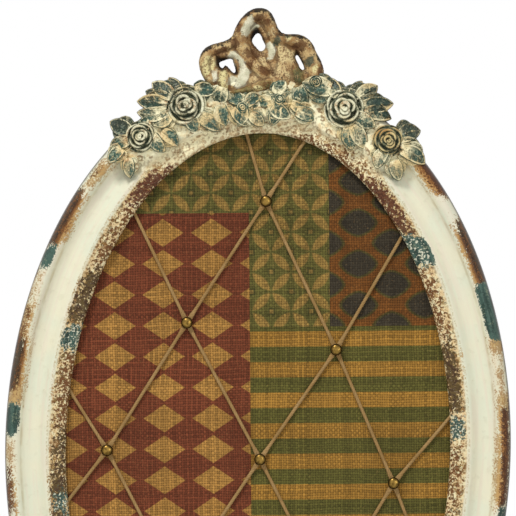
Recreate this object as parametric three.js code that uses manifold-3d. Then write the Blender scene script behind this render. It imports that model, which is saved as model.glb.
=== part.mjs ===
// Oval pin board: a cast moulding with a crest of roses, leaves and a ribbon bow, round a padded
// burlap panel that is crossed by tacked twine. Millimetres, +Z up. The board faces -Y and hangs
// with its bumpers on a wall in the plane y = 0. Its origin is the point midway between the two
// wall hooks, on the wall.
import * as THREE from "three";
import { mergeVertices } from "three/addons/utils/BufferGeometryUtils.js";
import Module from "manifold-3d";

const wasm = await Module();
wasm.setup();
const degrees = Math.PI / 180;
const weldDistance = 1e-4;

// Driving sizes of the whole board
const ovalHalfWidth = 216;
const ovalHalfHeight = 320;
const mouldingWidth = 52;
const faceRise = 12; // from the rabbet's ledge to the top of the outer ridge
const wallGap = 4.5; // from the moulding's back to the wall
const seatGap = 0.3; // kept between pieces that touch
const cutOverrun = 1; // how far a cutter runs past what it cuts
const ovalSteps = 56;

// The panel's layers, from the back
const backingThickness = 2.5;
const backingSlack = 0.5; // between the backing's edge and the rabbet's wall
const coreThickness = 5;
const paddingThickness = 2;
const paddingCrown = 3;
const clothThickness = 0.8;
const clothEdgeRound = 1.5;
const clothFlange = 26; // turned over the back of the core
const clothOverlap = 4.5; // behind the moulding's lip
const rabbetSlack = 0.4;

// Twine, tacks and staples
const twineDiameter = 3;
const twinePressedWidth = 4.4; // where two strands cross under a tack
const twinePressedHeight = 1.8;
const pressedReach = 4.6; // half the length that is pressed flat
const easeReach = 15; // from a crossing to where the strand is round again
const returnLength = 20; // along the back of the core
const twineSides = 6;
const tackHeadDiameter = 10;
const tackDomeHeight = 3.2;
const tackRimHeight = 0.5;
const tackShankDiameter = 1.2;
const tackPointLength = 2;
const tackSkin = 1; // core left behind the point
const tackSides = 7;
const stapleWire = 0.7;
const stapleWidth = 7;
const stapleLegReach = 3.2;

// The crest
const castSeatRise = 1.8; // top of the leaves' pads over the outer ridge
const castFoot = 20; // height that the castings are cut down to before the moulding is cut out
const overhangUnderside = 26; // height of the castings' underside outside the moulding
const overhangReach = 40;
const padMargin = 1.5; // round the rose
const roseHeight = 9.5;
const roseSkirt = 1.6;
const leafRise = 4; // a leaf's crests over the line that it lies on
const leafTipRise = 1.5; // that line's end over the moulding's face
const leafRibDrop = 1.5;
const budRadius = 4.6;
const budHeight = 5.5;
const roseSteps = 16;
const bowBandWidth = 13.5;
const bowBandDepth = 11;
const bowTailWidth = 10;
const bowTailDepth = 7;
const bowKnotWidth = 34;
const bowKnotHeight = 26;
const bowKnotDepth = 12;
const bowLoopHeight = 25; // of the loops' centre lines at their top, over the moulding's back
const bowFootHeight = 32; // of the same lines where they cross the outer ridge
const bowTailRise = 2.6; // of the tail's centre line over the outer ridge
const bowSteps = 12;
const bowSides = 6;

// Back hardware
const screwHeadDiameter = 6;
const screwHeadHeight = 1.6;
const screwDiameter = 2.6;
const screwReach = 10; // of the shank, under the head's plate
const screwSlotWidth = 0.9;
const screwSlotDepth = 0.7;
const screwSides = 8;
const buttonLength = 31;
const buttonWidth = 11;
const buttonThickness = 1.4;
const buttonPivotInset = 34; // from the oval's outer edge
const buttonTail = 7; // from the pivot to the nearer end
const buttonSteps = 4;
const strapWidth = 9.5;
const strapLength = 28;
const strapSheet = 0.7;
const strapScrewDrop = 20.5; // from the ring's bar to the screw
const loopSteps = 10;
const ringWire = 2;
const ringInnerWidth = 13;
const ringReach = 14; // from the bar's centre to the bow's centre line
const ringClearance = 0.15; // round the bar in its loop
const ringSteps = 14;
const ringSides = 6;
const hangerInset = 24;
const bumperDiameter = 15;
const bumperInset = 22;
const boreSides = 6; // of the holes for tacks and screws

// Places round the oval, in degrees from +X towards +Z
const buttonTurns = [90, 180, 270, 0];
const hangerTurns = [142, 38];
const bumperTurns = [236, 304];

// The moulding's section as shares: inset over mouldingWidth, height over the ledge's height
const sideShares = [[0.06, 0], [0, 0.6], [0.012, 1.1]];
// The moulding's face as shares: inset over mouldingWidth, height above the ledge over faceRise
const faceShares = [
  [0.045, 0.56], [0.096, 0.87], [0.155, 1], [0.215, 0.93], [0.268, 0.72], [0.288, 0.58],
  [0.345, 0.45], [0.44, 0.37], [0.55, 0.42], [0.625, 0.6], [0.655, 0.7], [0.7, 0.74],
  [0.757, 0.58], [0.955, 0.38], [1, 0.24],
];
// The rose's rings as shares: reach over its radius, height over roseHeight
const roseShares = [
  [1, 0.16], [0.94, 0.42], [0.78, 0.3], [0.7, 0.66], [0.54, 0.5], [0.46, 0.88], [0.29, 0.7],
  [0.2, 1], [0.07, 0.84],
];
const roseLobeShare = 0.045;
const roseLobes = 5;
const roseLobeTwist = 90; // degrees of the lobes' phase from one layer of petals to the next
const leafTopShare = 0.78; // of a leaf's half width, at its two crests
// A leaf's stations as shares: along its length, its half width, its rise
const leafShares = [[0, 0.62, 0.85], [0.34, 1, 1], [0.74, 0.78, 0.9], [1, 0.05, 0.45]];

// The tack's dome as shares: out over the head's radius, up over the dome's height
const domeShares = [[0, 1], [0.5, 0.88], [0.86, 0.5], [1, 0]];
// Rings of the panel's crowned front, as shares of the way out to its edge
const crownShares = [0.85, 0.55, 0.25];

// Tacks as shares of the sight opening's half width and half height
const tackShares = [
  [0.015, 0.784], [-0.383, 0.392], [0.396, 0.316], [-0.785, -0.019], [0.012, -0.038],
  [0.709, -0.105], [-0.409, -0.44], [0.378, -0.459], [-0.012, -0.828],
];
// Each strand: the turns where it goes over the panel's edge, and the tacks that it passes under
const strands = [
  { name: "twine_fall_right", from: 96.4, tacks: [0, 2, 5], to: 336.5, over: false },
  { name: "twine_fall_middle", from: 134.5, tacks: [1, 4, 7], to: 309, over: false },
  { name: "twine_fall_left", from: 170.2, tacks: [3, 6, 8], to: 277, over: false },
  { name: "twine_rise_left", from: 75.8, tacks: [0, 1, 3], to: 190.5, over: true },
  { name: "twine_rise_middle", from: 41, tacks: [2, 4, 6], to: 224, over: true },
  { name: "twine_rise_right", from: 6.4, tacks: [5, 7, 8], to: 258.4, over: true },
];

// Roses: centres as shares of the oval's half width and half height, and radius
const largeRoseRadius = 18;
const smallRoseRadius = 13.6;
const roses = [
  { name: "rose_large_left", across: -0.314, up: 0.906, radius: largeRoseRadius, phase: 20 },
  { name: "rose_large_right", across: 0.314, up: 0.907, radius: largeRoseRadius, phase: 65 },
  { name: "rose_small_left", across: -0.488, up: 0.82, radius: smallRoseRadius, phase: 40 },
  { name: "rose_small_right", across: 0.488, up: 0.823, radius: smallRoseRadius, phase: 5 },
];

// Leaves and buds round each hub, which is a rose's centre or a pad of its own. A leaf is given by
// its tip, as degrees from +X and hub radii from the hub's centre, by how far it leans from that
// way, and by its length and width in hub radii. A bud is given by its degrees and hub radii.
const centreHubRadius = 11;
const centrePadShare = 0.62;
const leafGroups = [
  {
    name: "leaves_large_left", rose: 0, buds: [],
    leafShares: [
      [25, 1.58, -29, 1, 0.62], [121, 1.56, 0, 1, 0.6], [146, 1.94, 0, 1.2, 0.68],
      [176, 2.31, 0, 1.45, 0.66], [196, 2.1, -10, 1.3, 0.66], [212, 1.81, 0, 1, 0.62],
      [-34, 2.05, 0, 1.2, 0.64], [-62, 1.4, 0, 0.9, 0.6],
    ],
  },
  {
    name: "leaves_large_right", rose: 1, buds: [[139, 1.85]],
    leafShares: [
      [150, 2.36, 16, 1.4, 0.8], [121, 1.73, 0, 1.1, 0.6], [59, 1.56, 0, 1, 0.6],
      [36, 1.92, 0, 1.2, 0.68], [8, 2.3, 0, 1.45, 0.68], [-12, 2.15, 0, 1.3, 0.64],
      [-30, 1.7, 0, 1.1, 0.62], [-80, 1.87, 0, 1.1, 0.62], [-61, 2.18, 0, 1.3, 0.64],
    ],
  },
  {
    name: "leaves_small_left", rose: 2, buds: [],
    leafShares: [
      [154, 2.18, 0, 1.45, 0.94], [-164, 2, 0, 1.3, 0.84], [-141, 2.45, 0, 1.6, 0.88],
      [-101, 2.68, 0, 1.75, 0.9], [-30, 1.82, -20, 1.4, 0.84], [-13, 2.52, -30, 1.6, 0.88],
      [75, 1.37, 0, 1, 0.7],
    ],
  },
  {
    name: "leaves_small_right", rose: 3, buds: [],
    leafShares: [
      [19, 2.16, 0, 1.45, 0.98], [-8, 2.09, 0, 1.3, 0.84], [-31, 2.74, 0, 1.8, 0.94],
      [-73, 2.71, 0, 1.8, 0.9], [-112, 1.9, 0, 1.3, 0.78],
    ],
  },
  {
    name: "leaves_centre_left", across: -0.089, up: 0.904, buds: [[0, 0]],
    leafShares: [
      [181, 1.96, 75, 1.6, 1], [-131, 1.95, 57, 1.6, 1], [-75, 1.5, 20, 1.7, 1.15],
      [5, 1.35, 0, 1.4, 1], [150, 1.6, 20, 1.6, 0.9], [-100, 1.5, 0, 1.5, 0.9],
    ],
  },
  {
    name: "leaves_centre_right", across: 0.056, up: 0.927, buds: [[0, 0]],
    leafShares: [
      [-57, 1.69, 20, 2, 1.05], [-24, 2.1, -50, 1.9, 1.05], [-24, 3.3, 8, 1.75, 0.95],
      [-153, 1.33, 0, 1.3, 1], [72, 1.5, -21, 1.3, 0.9], [0, 1.5, 0, 1.5, 0.9],
      [-18, 2.5, 0, 1.5, 0.8],
    ],
  },
];

// The bow's loops and its tail: points as shares of the oval's half width and half height
const bowLoops = [
  {
    forward: 0,
    pointShares: [
      [-0.036, 1.1505], [-0.088, 1.109], [-0.095, 1.065], [-0.05, 1.03], [0.014, 1.03], [0.04, 1.075],
      [0.02, 1.125],
    ],
  },
  {
    forward: 2,
    pointShares: [
      [-0.23, 1.038], [-0.17, 1.055], [-0.104, 1.05], [-0.082, 1.01], [-0.106, 0.97], [-0.167, 0.962],
      [-0.226, 0.988],
    ],
  },
  {
    forward: 1,
    pointShares: [
      [0.122, 1.082], [0.168, 1.058], [0.196, 1.009], [0.155, 0.974], [0.094, 0.98], [0.066, 1.025],
      [0.072, 1.068],
    ],
  },
];
const bowTailShares = [
  [-0.2, 0.936], [-0.145, 0.944], [-0.085, 0.952], [-0.025, 0.966], [0.065, 0.974], [0.125, 0.988],
];
const bowKnotUp = 1.003; // share of the oval's half height

// Heights over the moulding's back that follow from the layers
const stapleHeight = backingThickness + seatGap;
const returnHeight = stapleHeight + stapleWire + seatGap + twineDiameter / 2;
const clothBack = returnHeight + twineDiameter / 2 + seatGap;
const coreBack = clothBack + clothThickness + seatGap;
const coreFront = coreBack + coreThickness;
const paddingBack = coreFront + seatGap;
const paddingEdge = paddingBack + paddingThickness;
const clothEdgeFront = paddingEdge + seatGap + clothThickness;
const ledgeHeight = clothEdgeFront + twineDiameter + 2 * seatGap;
const ridgeHeight = ledgeHeight + faceRise;
const castSeat = ridgeHeight + castSeatRise;

// Insets from the oval's outer edge
const clothInset = mouldingWidth - clothOverlap;
const layerInset = clothInset + clothThickness + seatGap;
const rabbetInset = clothInset - twineDiameter - 2 * seatGap - rabbetSlack;
const sightHalfWidth = ovalHalfWidth - mouldingWidth;
const sightHalfHeight = ovalHalfHeight - mouldingWidth;

// The board's own axes: x across, y up, z out towards the viewer, from the moulding's back plane.
// A point on the oval at a turn, moved inwards by inset along the oval's normal.
function ovalPoint(turn, inset, height, share = 1) {
  const cos = Math.cos(turn);
  const sin = Math.sin(turn);
  const normal = new THREE.Vector2(cos / ovalHalfWidth, sin / ovalHalfHeight).normalize();
  return new THREE.Vector3(
    share * (ovalHalfWidth * cos - normal.x * inset),
    share * (ovalHalfHeight * sin - normal.y * inset),
    height,
  );
}

function ovalLoop(inset, height, share = 1) {
  return Array.from({ length: ovalSteps }, (_, step) =>
    ovalPoint((2 * Math.PI * step) / ovalSteps, inset, height, share));
}

// A body from rings of as many points each, joined in order. Open ends are closed by a fan.
function bodyFromRings(rings, joined) {
  const count = rings[0].length;
  const points = rings.flat();
  const index = [];
  const spans = joined ? rings.length : rings.length - 1;
  for (let ring = 0; ring < spans; ring++) {
    const here = ring * count;
    const next = ((ring + 1) % rings.length) * count;
    for (let side = 0; side < count; side++) {
      const after = (side + 1) % count;
      index.push(here + side, here + after, next + after, here + side, next + after, next + side);
    }
  }
  if (!joined) {
    [0, rings.length - 1].forEach((ring, end) => {
      const middle = new THREE.Vector3();
      rings[ring].forEach((point) => middle.add(point));
      points.push(middle.divideScalar(count));
      for (let side = 0; side < count; side++) {
        const edge = [ring * count + side, ring * count + ((side + 1) % count)];
        index.push(points.length - 1, edge[end ? 0 : 1], edge[end ? 1 : 0]);
      }
    });
  }
  const geometry = new THREE.BufferGeometry().setFromPoints(points);
  geometry.setIndex(index);
  return faceOutwards(geometry);
}

// Turns every face round where the body is inside out.
function faceOutwards(geometry) {
  const place = geometry.getAttribute("position");
  const index = geometry.getIndex();
  const corner = [0, 1, 2].map(() => new THREE.Vector3());
  let volume = 0;
  for (let at = 0; at < index.count; at += 3) {
    corner.forEach((point, c) => point.fromBufferAttribute(place, index.getX(at + c)));
    volume += corner[0].dot(corner[1].cross(corner[2]));
  }
  if (volume < 0) {
    for (let at = 0; at < index.count; at += 3) {
      const first = index.getX(at);
      index.setX(at, index.getX(at + 1));
      index.setX(at + 1, first);
    }
  }
  return geometry;
}

function solidOf(geometry) {
  const bare = new THREE.BufferGeometry();
  const loose = geometry.index ? geometry.toNonIndexed() : geometry;
  bare.setAttribute("position", loose.getAttribute("position"));
  const merged = mergeVertices(bare, weldDistance);
  const mesh = { numProp: 3, vertProperties: merged.attributes.position.array };
  return new wasm.Manifold(new wasm.Mesh({ ...mesh, triVerts: new Uint32Array(merged.index.array) }));
}

function geometryOf(solid) {
  const mesh = solid.getMesh();
  const geometry = new THREE.BufferGeometry();
  geometry.setAttribute("position", new THREE.BufferAttribute(mesh.vertProperties, 3));
  geometry.setIndex(new THREE.BufferAttribute(mesh.triVerts, 1));
  return geometry;
}

// The largest connected body, without the slivers that a cut leaves.
function largestBody(solid) {
  return solid.decompose().reduce((kept, body) => (body.volume() > kept.volume() ? body : kept));
}

// A straight round cutter or pin along the board's z, from one height to another.
function roundBar(x, y, radius, from, to, sides) {
  const bar = new THREE.CylinderGeometry(radius, radius, to - from, sides);
  bar.rotateX(Math.PI / 2).translate(x, y, (from + to) / 2);
  return solidOf(bar);
}

// A tube through knots. Each knot gives a point, the half width and half height of the tube's oval
// section there, and the way in which that height points, as near as it can square to the tube.
function sweptTube(knots, sides, joined = false) {
  const last = knots.length - 1;
  const rings = knots.map(({ point, way, half }, at) => {
    const before = joined ? knots.at(at - 1) : knots[Math.max(at - 1, 0)];
    const after = joined ? knots[(at + 1) % knots.length] : knots[Math.min(at + 1, last)];
    const along = after.point.clone().sub(before.point);
    const side = way.clone().cross(along).normalize();
    const normal = along.cross(side).normalize();
    return Array.from({ length: sides }, (_, corner) => {
      const angle = (2 * Math.PI * (corner + 0.5)) / sides;
      return point.clone()
        .addScaledVector(side, Math.cos(angle) * half.width)
        .addScaledVector(normal, Math.sin(angle) * half.height);
    });
  });
  return solidOf(bodyFromRings(rings, joined));
}

const forwards = new THREE.Vector3(0, 0, 1);

// Knots of one section whose height stands along the board's z.
function flatKnots(points, width, height) {
  return points.map((point) => ({ point, way: forwards, half: { width: width / 2, height: height / 2 } }));
}

// Moulding
function mouldingSection(grow) {
  const outline = [
    ...sideShares.map(([inset, height]) => [inset * mouldingWidth, height * ledgeHeight]),
    ...faceShares.map(([inset, rise]) => [inset * mouldingWidth, ledgeHeight + rise * faceRise]),
    [mouldingWidth, ledgeHeight],
    [rabbetInset, ledgeHeight],
    [rabbetInset, 0],
  ];
  if (!grow) return outline;
  // The same outline, moved outwards by grow, for cutting what lies on the moulding.
  return outline.map(([inset, height], at) => {
    const before = outline.at(at - 1);
    const after = outline[(at + 1) % outline.length];
    const way = new THREE.Vector2(-(after[1] - before[1]), after[0] - before[0]).normalize();
    return [inset + way.x * grow, height + way.y * grow];
  });
}

function mouldingBody(grow = 0) {
  const section = mouldingSection(grow);
  const rings = section.map(([inset, height]) => ovalLoop(inset, height));
  return solidOf(bodyFromRings(rings, true));
}

// The panel's crowned front, as a height over a layer's own edge height.
function crownAt(x, y) {
  const half = ovalPoint(0, clothInset, 0).x;
  const tall = ovalPoint(Math.PI / 2, clothInset, 0).y;
  return paddingCrown * Math.max(0, 1 - (x / half) ** 2 - (y / tall) ** 2);
}

function crownedLoops(inset, edgeHeight) {
  return crownShares.map((share) =>
    ovalLoop(inset, edgeHeight, share).map((point) => point.setZ(edgeHeight + crownAt(point.x, point.y))));
}

function clothBody() {
  const inner = clothInset + clothThickness;
  const rounded = clothInset + clothEdgeRound;
  const front = clothEdgeFront - clothThickness;
  return solidOf(bodyFromRings([
    ...crownedLoops(rounded, clothEdgeFront).reverse(),
    ovalLoop(rounded, clothEdgeFront),
    ovalLoop(clothInset, clothEdgeFront - clothEdgeRound),
    ovalLoop(clothInset, clothBack + clothEdgeRound),
    ovalLoop(rounded, clothBack),
    ovalLoop(clothInset + clothFlange, clothBack),
    ovalLoop(clothInset + clothFlange, clothBack + clothThickness),
    ovalLoop(inner, clothBack + clothThickness),
    ovalLoop(inner, front),
    ...crownedLoops(inner, front),
  ]));
}

function paddingBody() {
  return solidOf(bodyFromRings([
    ...crownedLoops(layerInset, paddingEdge).reverse(),
    ovalLoop(layerInset, paddingEdge),
    ovalLoop(layerInset, paddingBack),
  ]));
}

function flatPlate(inset, from, to) {
  return solidOf(bodyFromRings([ovalLoop(inset, from), ovalLoop(inset, to)]));
}

// Tacks
const tackPlaces = tackShares.map(([across, up]) =>
  new THREE.Vector2(across * sightHalfWidth, up * sightHalfHeight));

function clothFrontAt(x, y) {
  return clothEdgeFront + crownAt(x, y);
}

function tackSeat(place) {
  return clothFrontAt(place.x, place.y) + 2 * twinePressedHeight + 3 * seatGap;
}

function tackGeometry(place) {
  const head = tackHeadDiameter / 2;
  const shank = tackShankDiameter / 2;
  const reach = tackSeat(place) - coreBack - tackSkin;
  const dome = domeShares.map(([out, rise]) =>
    new THREE.Vector2(out * head, tackRimHeight + rise * (tackDomeHeight - tackRimHeight)));
  const profile = [
    ...dome,
    new THREE.Vector2(head, 0),
    new THREE.Vector2(shank, 0),
    new THREE.Vector2(shank, tackPointLength - reach),
    new THREE.Vector2(0, -reach),
  ];
  const tack = new THREE.LatheGeometry(profile.reverse(), tackSides);
  return geometryOf(solidOf(tack.rotateX(Math.PI / 2)));
}

// Holes for the shanks through whatever lies between two heights.
function withTackHoles(solid, places) {
  return places.reduce((kept, place) => {
    const radius = tackShankDiameter / 2 + seatGap;
    const from = coreBack + tackSkin - seatGap;
    const to = tackSeat(place) + cutOverrun;
    return kept.subtract(roundBar(place.x, place.y, radius, from, to, boreSides));
  }, solid);
}

// Twine
// The strand's way round the panel's edge at a turn, from its end on the back to its start in front:
// points, and the way in which each faces away from the panel.
function edgeWrap(turn) {
  const at = (inset, height) => ovalPoint(turn * degrees, inset, height);
  const outwards = at(0, 0).sub(at(clothInset, 0)).normalize();
  const corner = clothEdgeRound + seatGap + twineDiameter / 2;
  const bend = (height, firstAngle) => [0, 45, 90].map((more) => {
    const angle = (firstAngle + more) * degrees;
    const way = outwards.clone().multiplyScalar(Math.cos(angle)).addScaledVector(forwards, Math.sin(angle));
    return { point: at(clothInset + clothEdgeRound, height).addScaledVector(way, corner), way };
  });
  return [
    { point: at(clothInset + returnLength, returnHeight), way: forwards.clone().negate() },
    ...bend(clothBack + clothEdgeRound, -90),
    ...bend(clothEdgeFront - clothEdgeRound, 0),
  ];
}

function strandPath(strand) {
  const round = { width: twineDiameter / 2, height: twineDiameter / 2 };
  const pressed = { width: twinePressedWidth / 2, height: twinePressedHeight / 2 };
  const start = edgeWrap(strand.from).map((knot) => ({ ...knot, half: round }));
  const end = edgeWrap(strand.to).map((knot) => ({ ...knot, half: round })).reverse();
  const knots = [...start];
  const stops = [start.at(-1).point, ...strand.tacks.map((tack) => tackPlaces[tack]), end[0].point];
  const lift = strand.over ? twinePressedHeight + seatGap : 0;
  for (let stop = 1; stop < stops.length; stop++) {
    const from = new THREE.Vector2(stops[stop - 1].x, stops[stop - 1].y);
    const to = new THREE.Vector2(stops[stop].x, stops[stop].y);
    const length = from.distanceTo(to);
    const along = to.clone().sub(from).divideScalar(length);
    const at = (distance, half, raise) => {
      const { x, y } = from.clone().addScaledVector(along, distance);
      const height = clothFrontAt(x, y) + seatGap + half.height + raise;
      knots.push({ point: new THREE.Vector3(x, y, height), way: forwards, half });
    };
    if (stop > 1) {
      at(pressedReach, pressed, lift);
      at(easeReach, round, 0);
    }
    at(length / 2, round, 0);
    if (stop < stops.length - 1) {
      at(length - easeReach, round, 0);
      at(length - pressedReach, pressed, lift);
    }
  }
  return [...knots, ...end];
}

function strandBody(strand) {
  const tube = sweptTube(strandPath(strand), twineSides);
  return withTackHoles(tube, strand.tacks.map((tack) => tackPlaces[tack]));
}

// Staples, each over a strand's end on the back of the core
function stapleBody(turn, grow = 0) {
  const wire = stapleWire + 2 * grow;
  const legTop = coreBack + stapleLegReach;
  const crown = new THREE.BoxGeometry(stapleWidth + 2 * grow, wire, wire);
  const middle = stapleHeight + stapleWire / 2;
  let body = solidOf(crown.translate(0, 0, middle));
  for (const side of [-1, 1]) {
    const leg = new THREE.BoxGeometry(wire, wire, legTop + grow - middle);
    leg.translate((side * (stapleWidth - stapleWire)) / 2, 0, (legTop + grow + middle) / 2);
    body = body.add(solidOf(leg));
  }
  const seat = ovalPoint(turn * degrees, clothInset + returnLength - stapleWidth / 2, 0);
  const inwards = ovalPoint(turn * degrees, clothInset, 0).sub(seat);
  const geometry = geometryOf(body);
  geometry.rotateZ(Math.atan2(inwards.y, inwards.x) + Math.PI / 2);
  return solidOf(geometry.translate(seat.x, seat.y, 0));
}

// How far inside the oval's outer edge a point lies, found in a few rounds.
const insetRounds = 6;

function insetAt(x, y) {
  let turn = Math.atan2(y / ovalHalfHeight, x / ovalHalfWidth);
  const away = () => new THREE.Vector2(x, y).sub(ovalPoint(turn, 0, 0));
  for (let step = 0; step < insetRounds; step++) {
    const along = new THREE.Vector2(-ovalHalfWidth * Math.sin(turn), ovalHalfHeight * Math.cos(turn));
    turn += away().dot(along) / along.lengthSq();
  }
  const inside = Math.hypot(x / ovalHalfWidth, y / ovalHalfHeight) < 1;
  return away().length() * (inside ? 1 : -1);
}

// The height of the moulding's face under a point, or of its outer edge if the point lies outside.
function groundAt(x, y) {
  const face = faceShares.map(([share, rise]) => [share * mouldingWidth, ledgeHeight + rise * faceRise]);
  const inset = THREE.MathUtils.clamp(insetAt(x, y), face[0][0], face.at(-1)[0]);
  const next = Math.max(1, face.findIndex(([at]) => at >= inset));
  const [[fromInset, fromHeight], [toInset, toHeight]] = [face[next - 1], face[next]];
  return THREE.MathUtils.mapLinear(inset, fromInset, toInset, fromHeight, toHeight);
}

// Crest: roses
function crestPlace(piece) {
  return new THREE.Vector2(piece.across * ovalHalfWidth, piece.up * ovalHalfHeight);
}

function lobedLoop(radius, height, phase) {
  return Array.from({ length: roseSteps }, (_, step) => {
    const angle = (2 * Math.PI * step) / roseSteps;
    const reach = radius * (1 + roseLobeShare * Math.cos(roseLobes * angle + phase * degrees));
    return new THREE.Vector3(reach * Math.cos(angle), reach * Math.sin(angle), height);
  });
}

function roseGeometry(rose) {
  const rings = roseShares.map(([reach, rise], at) =>
    lobedLoop(reach * rose.radius, rise * roseHeight, rose.phase + roseLobeTwist * Math.floor(at / 2)));
  const foot = lobedLoop(rose.radius - roseSkirt, 0, rose.phase);
  return bodyFromRings([foot, ...rings]);
}

// What a rose takes up above the leaves' pads, with the gap round it.
function roseRoom(rose) {
  const place = crestPlace(rose);
  const radius = rose.radius * (1 + roseLobeShare) + seatGap;
  return roundBar(place.x, place.y, radius, castSeat, castSeat + roseHeight + cutOverrun, roseSteps);
}

// Crest: leaves and buds
function polar(hub, turn, reach) {
  return new THREE.Vector2(reach * Math.cos(turn * degrees), reach * Math.sin(turn * degrees)).add(hub);
}

function leafBody(hub, radius, leaf, grow) {
  const [turn, reach, lean, length, width] = leaf;
  const tip = polar(hub, turn, reach * radius);
  const along = polar(new THREE.Vector2(), turn + lean, 1);
  const side = new THREE.Vector2(-along.y, along.x);
  const tipHeight = groundAt(tip.x, tip.y) + leafTipRise;
  const rings = leafShares.map(([station, wide, rise]) => {
    const half = (wide * width * radius) / 2 + grow;
    const crest = THREE.MathUtils.lerp(castSeat, tipHeight, station ** 2) + leafRise * rise + grow;
    const back = (1 - station) * length * radius + (1 - 2 * station) * grow;
    const middle = tip.clone().addScaledVector(along, -back);
    const place = (across, height) => {
      const { x, y } = middle.clone().addScaledVector(side, across);
      return new THREE.Vector3(x, y, height);
    };
    return [
      place(-half, castFoot - grow), place(half, castFoot - grow), place(half * leafTopShare, crest),
      place(0, crest - leafRibDrop * rise), place(-half * leafTopShare, crest),
    ];
  });
  return solidOf(bodyFromRings(rings));
}

function budBody(place, grow) {
  const steps = roseSteps / 2;
  const bud = new THREE.CylinderGeometry(budRadius / 2 + grow, budRadius + grow, budHeight + grow, steps);
  bud.rotateX(Math.PI / 2).translate(place.x, place.y, castSeat + (budHeight + grow) / 2);
  const stem = roundBar(place.x, place.y, budRadius + grow, castFoot - grow, castSeat + grow, steps);
  return solidOf(bud).add(stem);
}

function leafGroupBody(group, grow = 0) {
  const onRose = group.rose !== undefined;
  const hub = crestPlace(onRose ? roses[group.rose] : group);
  const radius = onRose ? roses[group.rose].radius : centreHubRadius;
  const padRadius = onRose ? radius + padMargin : centrePadShare * radius;
  const pad = roundBar(hub.x, hub.y, padRadius + grow, castFoot - grow, castSeat + grow, roseSteps);
  const leaves = group.leafShares.map((leaf) => leafBody(hub, radius, leaf, grow));
  const buds = group.buds.map(([turn, reach]) => budBody(polar(hub, turn, reach * radius), grow));
  return [...leaves, ...buds].reduce((body, piece) => body.add(piece), pad);
}

// Crest: bow
// How high the band's centre line lies: forward over the ridge, and back beyond the moulding.
function bowHeightAt(y, forward) {
  const clear = (y - ovalHalfHeight) / (bowBandWidth + bowBandDepth);
  const share = THREE.MathUtils.smoothstep(clear, 0, 1);
  return THREE.MathUtils.lerp(bowFootHeight, bowLoopHeight, share) + forward;
}

function crestPoints(shares) {
  return shares.map(([across, up]) => new THREE.Vector3(across * ovalHalfWidth, up * ovalHalfHeight, 0));
}

function bowLoopBody(loop, grow) {
  const curve = new THREE.CatmullRomCurve3(crestPoints(loop.pointShares), true);
  const points = curve.getSpacedPoints(bowSteps).slice(1);
  points.forEach((point) => point.setZ(bowHeightAt(point.y, loop.forward)));
  return sweptTube(flatKnots(points, bowBandWidth + 2 * grow, bowBandDepth + 2 * grow), bowSides, true);
}

function bowBody(grow = 0) {
  const tail = crestPoints(bowTailShares).map((point) => point.setZ(ridgeHeight + bowTailRise));
  const tailBody = sweptTube(flatKnots(tail, bowTailWidth + 2 * grow, bowTailDepth + 2 * grow), bowSides);
  const knot = new THREE.SphereGeometry(1, roseSteps / 2, bowSides);
  knot.scale(bowKnotWidth / 2 + grow, bowKnotHeight / 2 + grow, bowKnotDepth / 2 + grow);
  knot.translate(0, bowKnotUp * ovalHalfHeight, bowFootHeight);
  return bowLoops.reduce((body, loop) => body.add(bowLoopBody(loop, grow)), tailBody.add(solidOf(knot)));
}

// Back hardware
function screwBody(underHead) {
  const head = screwHeadDiameter / 2;
  const shank = screwDiameter / 2;
  const point = screwReach - underHead;
  const crown = -underHead - screwHeadHeight;
  const profile = [
    [0, point], [shank, point - shank], [shank, -underHead], [head, -underHead],
    [head, crown + screwHeadHeight / 2], [head - screwHeadHeight / 2, crown], [0, crown],
  ].map(([out, height]) => new THREE.Vector2(out, height));
  const body = solidOf(new THREE.LatheGeometry(profile.reverse(), screwSides).rotateX(Math.PI / 2));
  const slot = new THREE.BoxGeometry(screwHeadDiameter + cutOverrun, screwSlotWidth, 2 * screwSlotDepth);
  return body.subtract(solidOf(slot.translate(0, 0, crown)));
}

function turnButtonGeometry() {
  const outline = new THREE.Shape();
  const end = buttonWidth / 2;
  outline.absarc(buttonLength - buttonTail - end, 0, end, -Math.PI / 2, Math.PI / 2);
  outline.absarc(end - buttonTail, 0, end, Math.PI / 2, (3 * Math.PI) / 2);
  outline.closePath();
  outline.holes.push(new THREE.Path().absarc(0, 0, screwDiameter / 2 + seatGap, 0, 2 * Math.PI, true));
  const plate = new THREE.ExtrudeGeometry(outline, {
    depth: buttonThickness, bevelEnabled: false, curveSegments: buttonSteps,
  });
  return geometryOf(solidOf(plate.translate(0, 0, -seatGap - buttonThickness)));
}

const loopRadius = ringWire / 2 + ringClearance + strapSheet;
const barDrop = seatGap + loopRadius; // of the ring's bar behind the moulding's back
const strapFront = seatGap + 2 * strapSheet;
// The ring hangs down and leans on the strap's face.
const ringLean = Math.asin((strapFront + seatGap + ringWire / 2 - barDrop) / ringReach);

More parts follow.
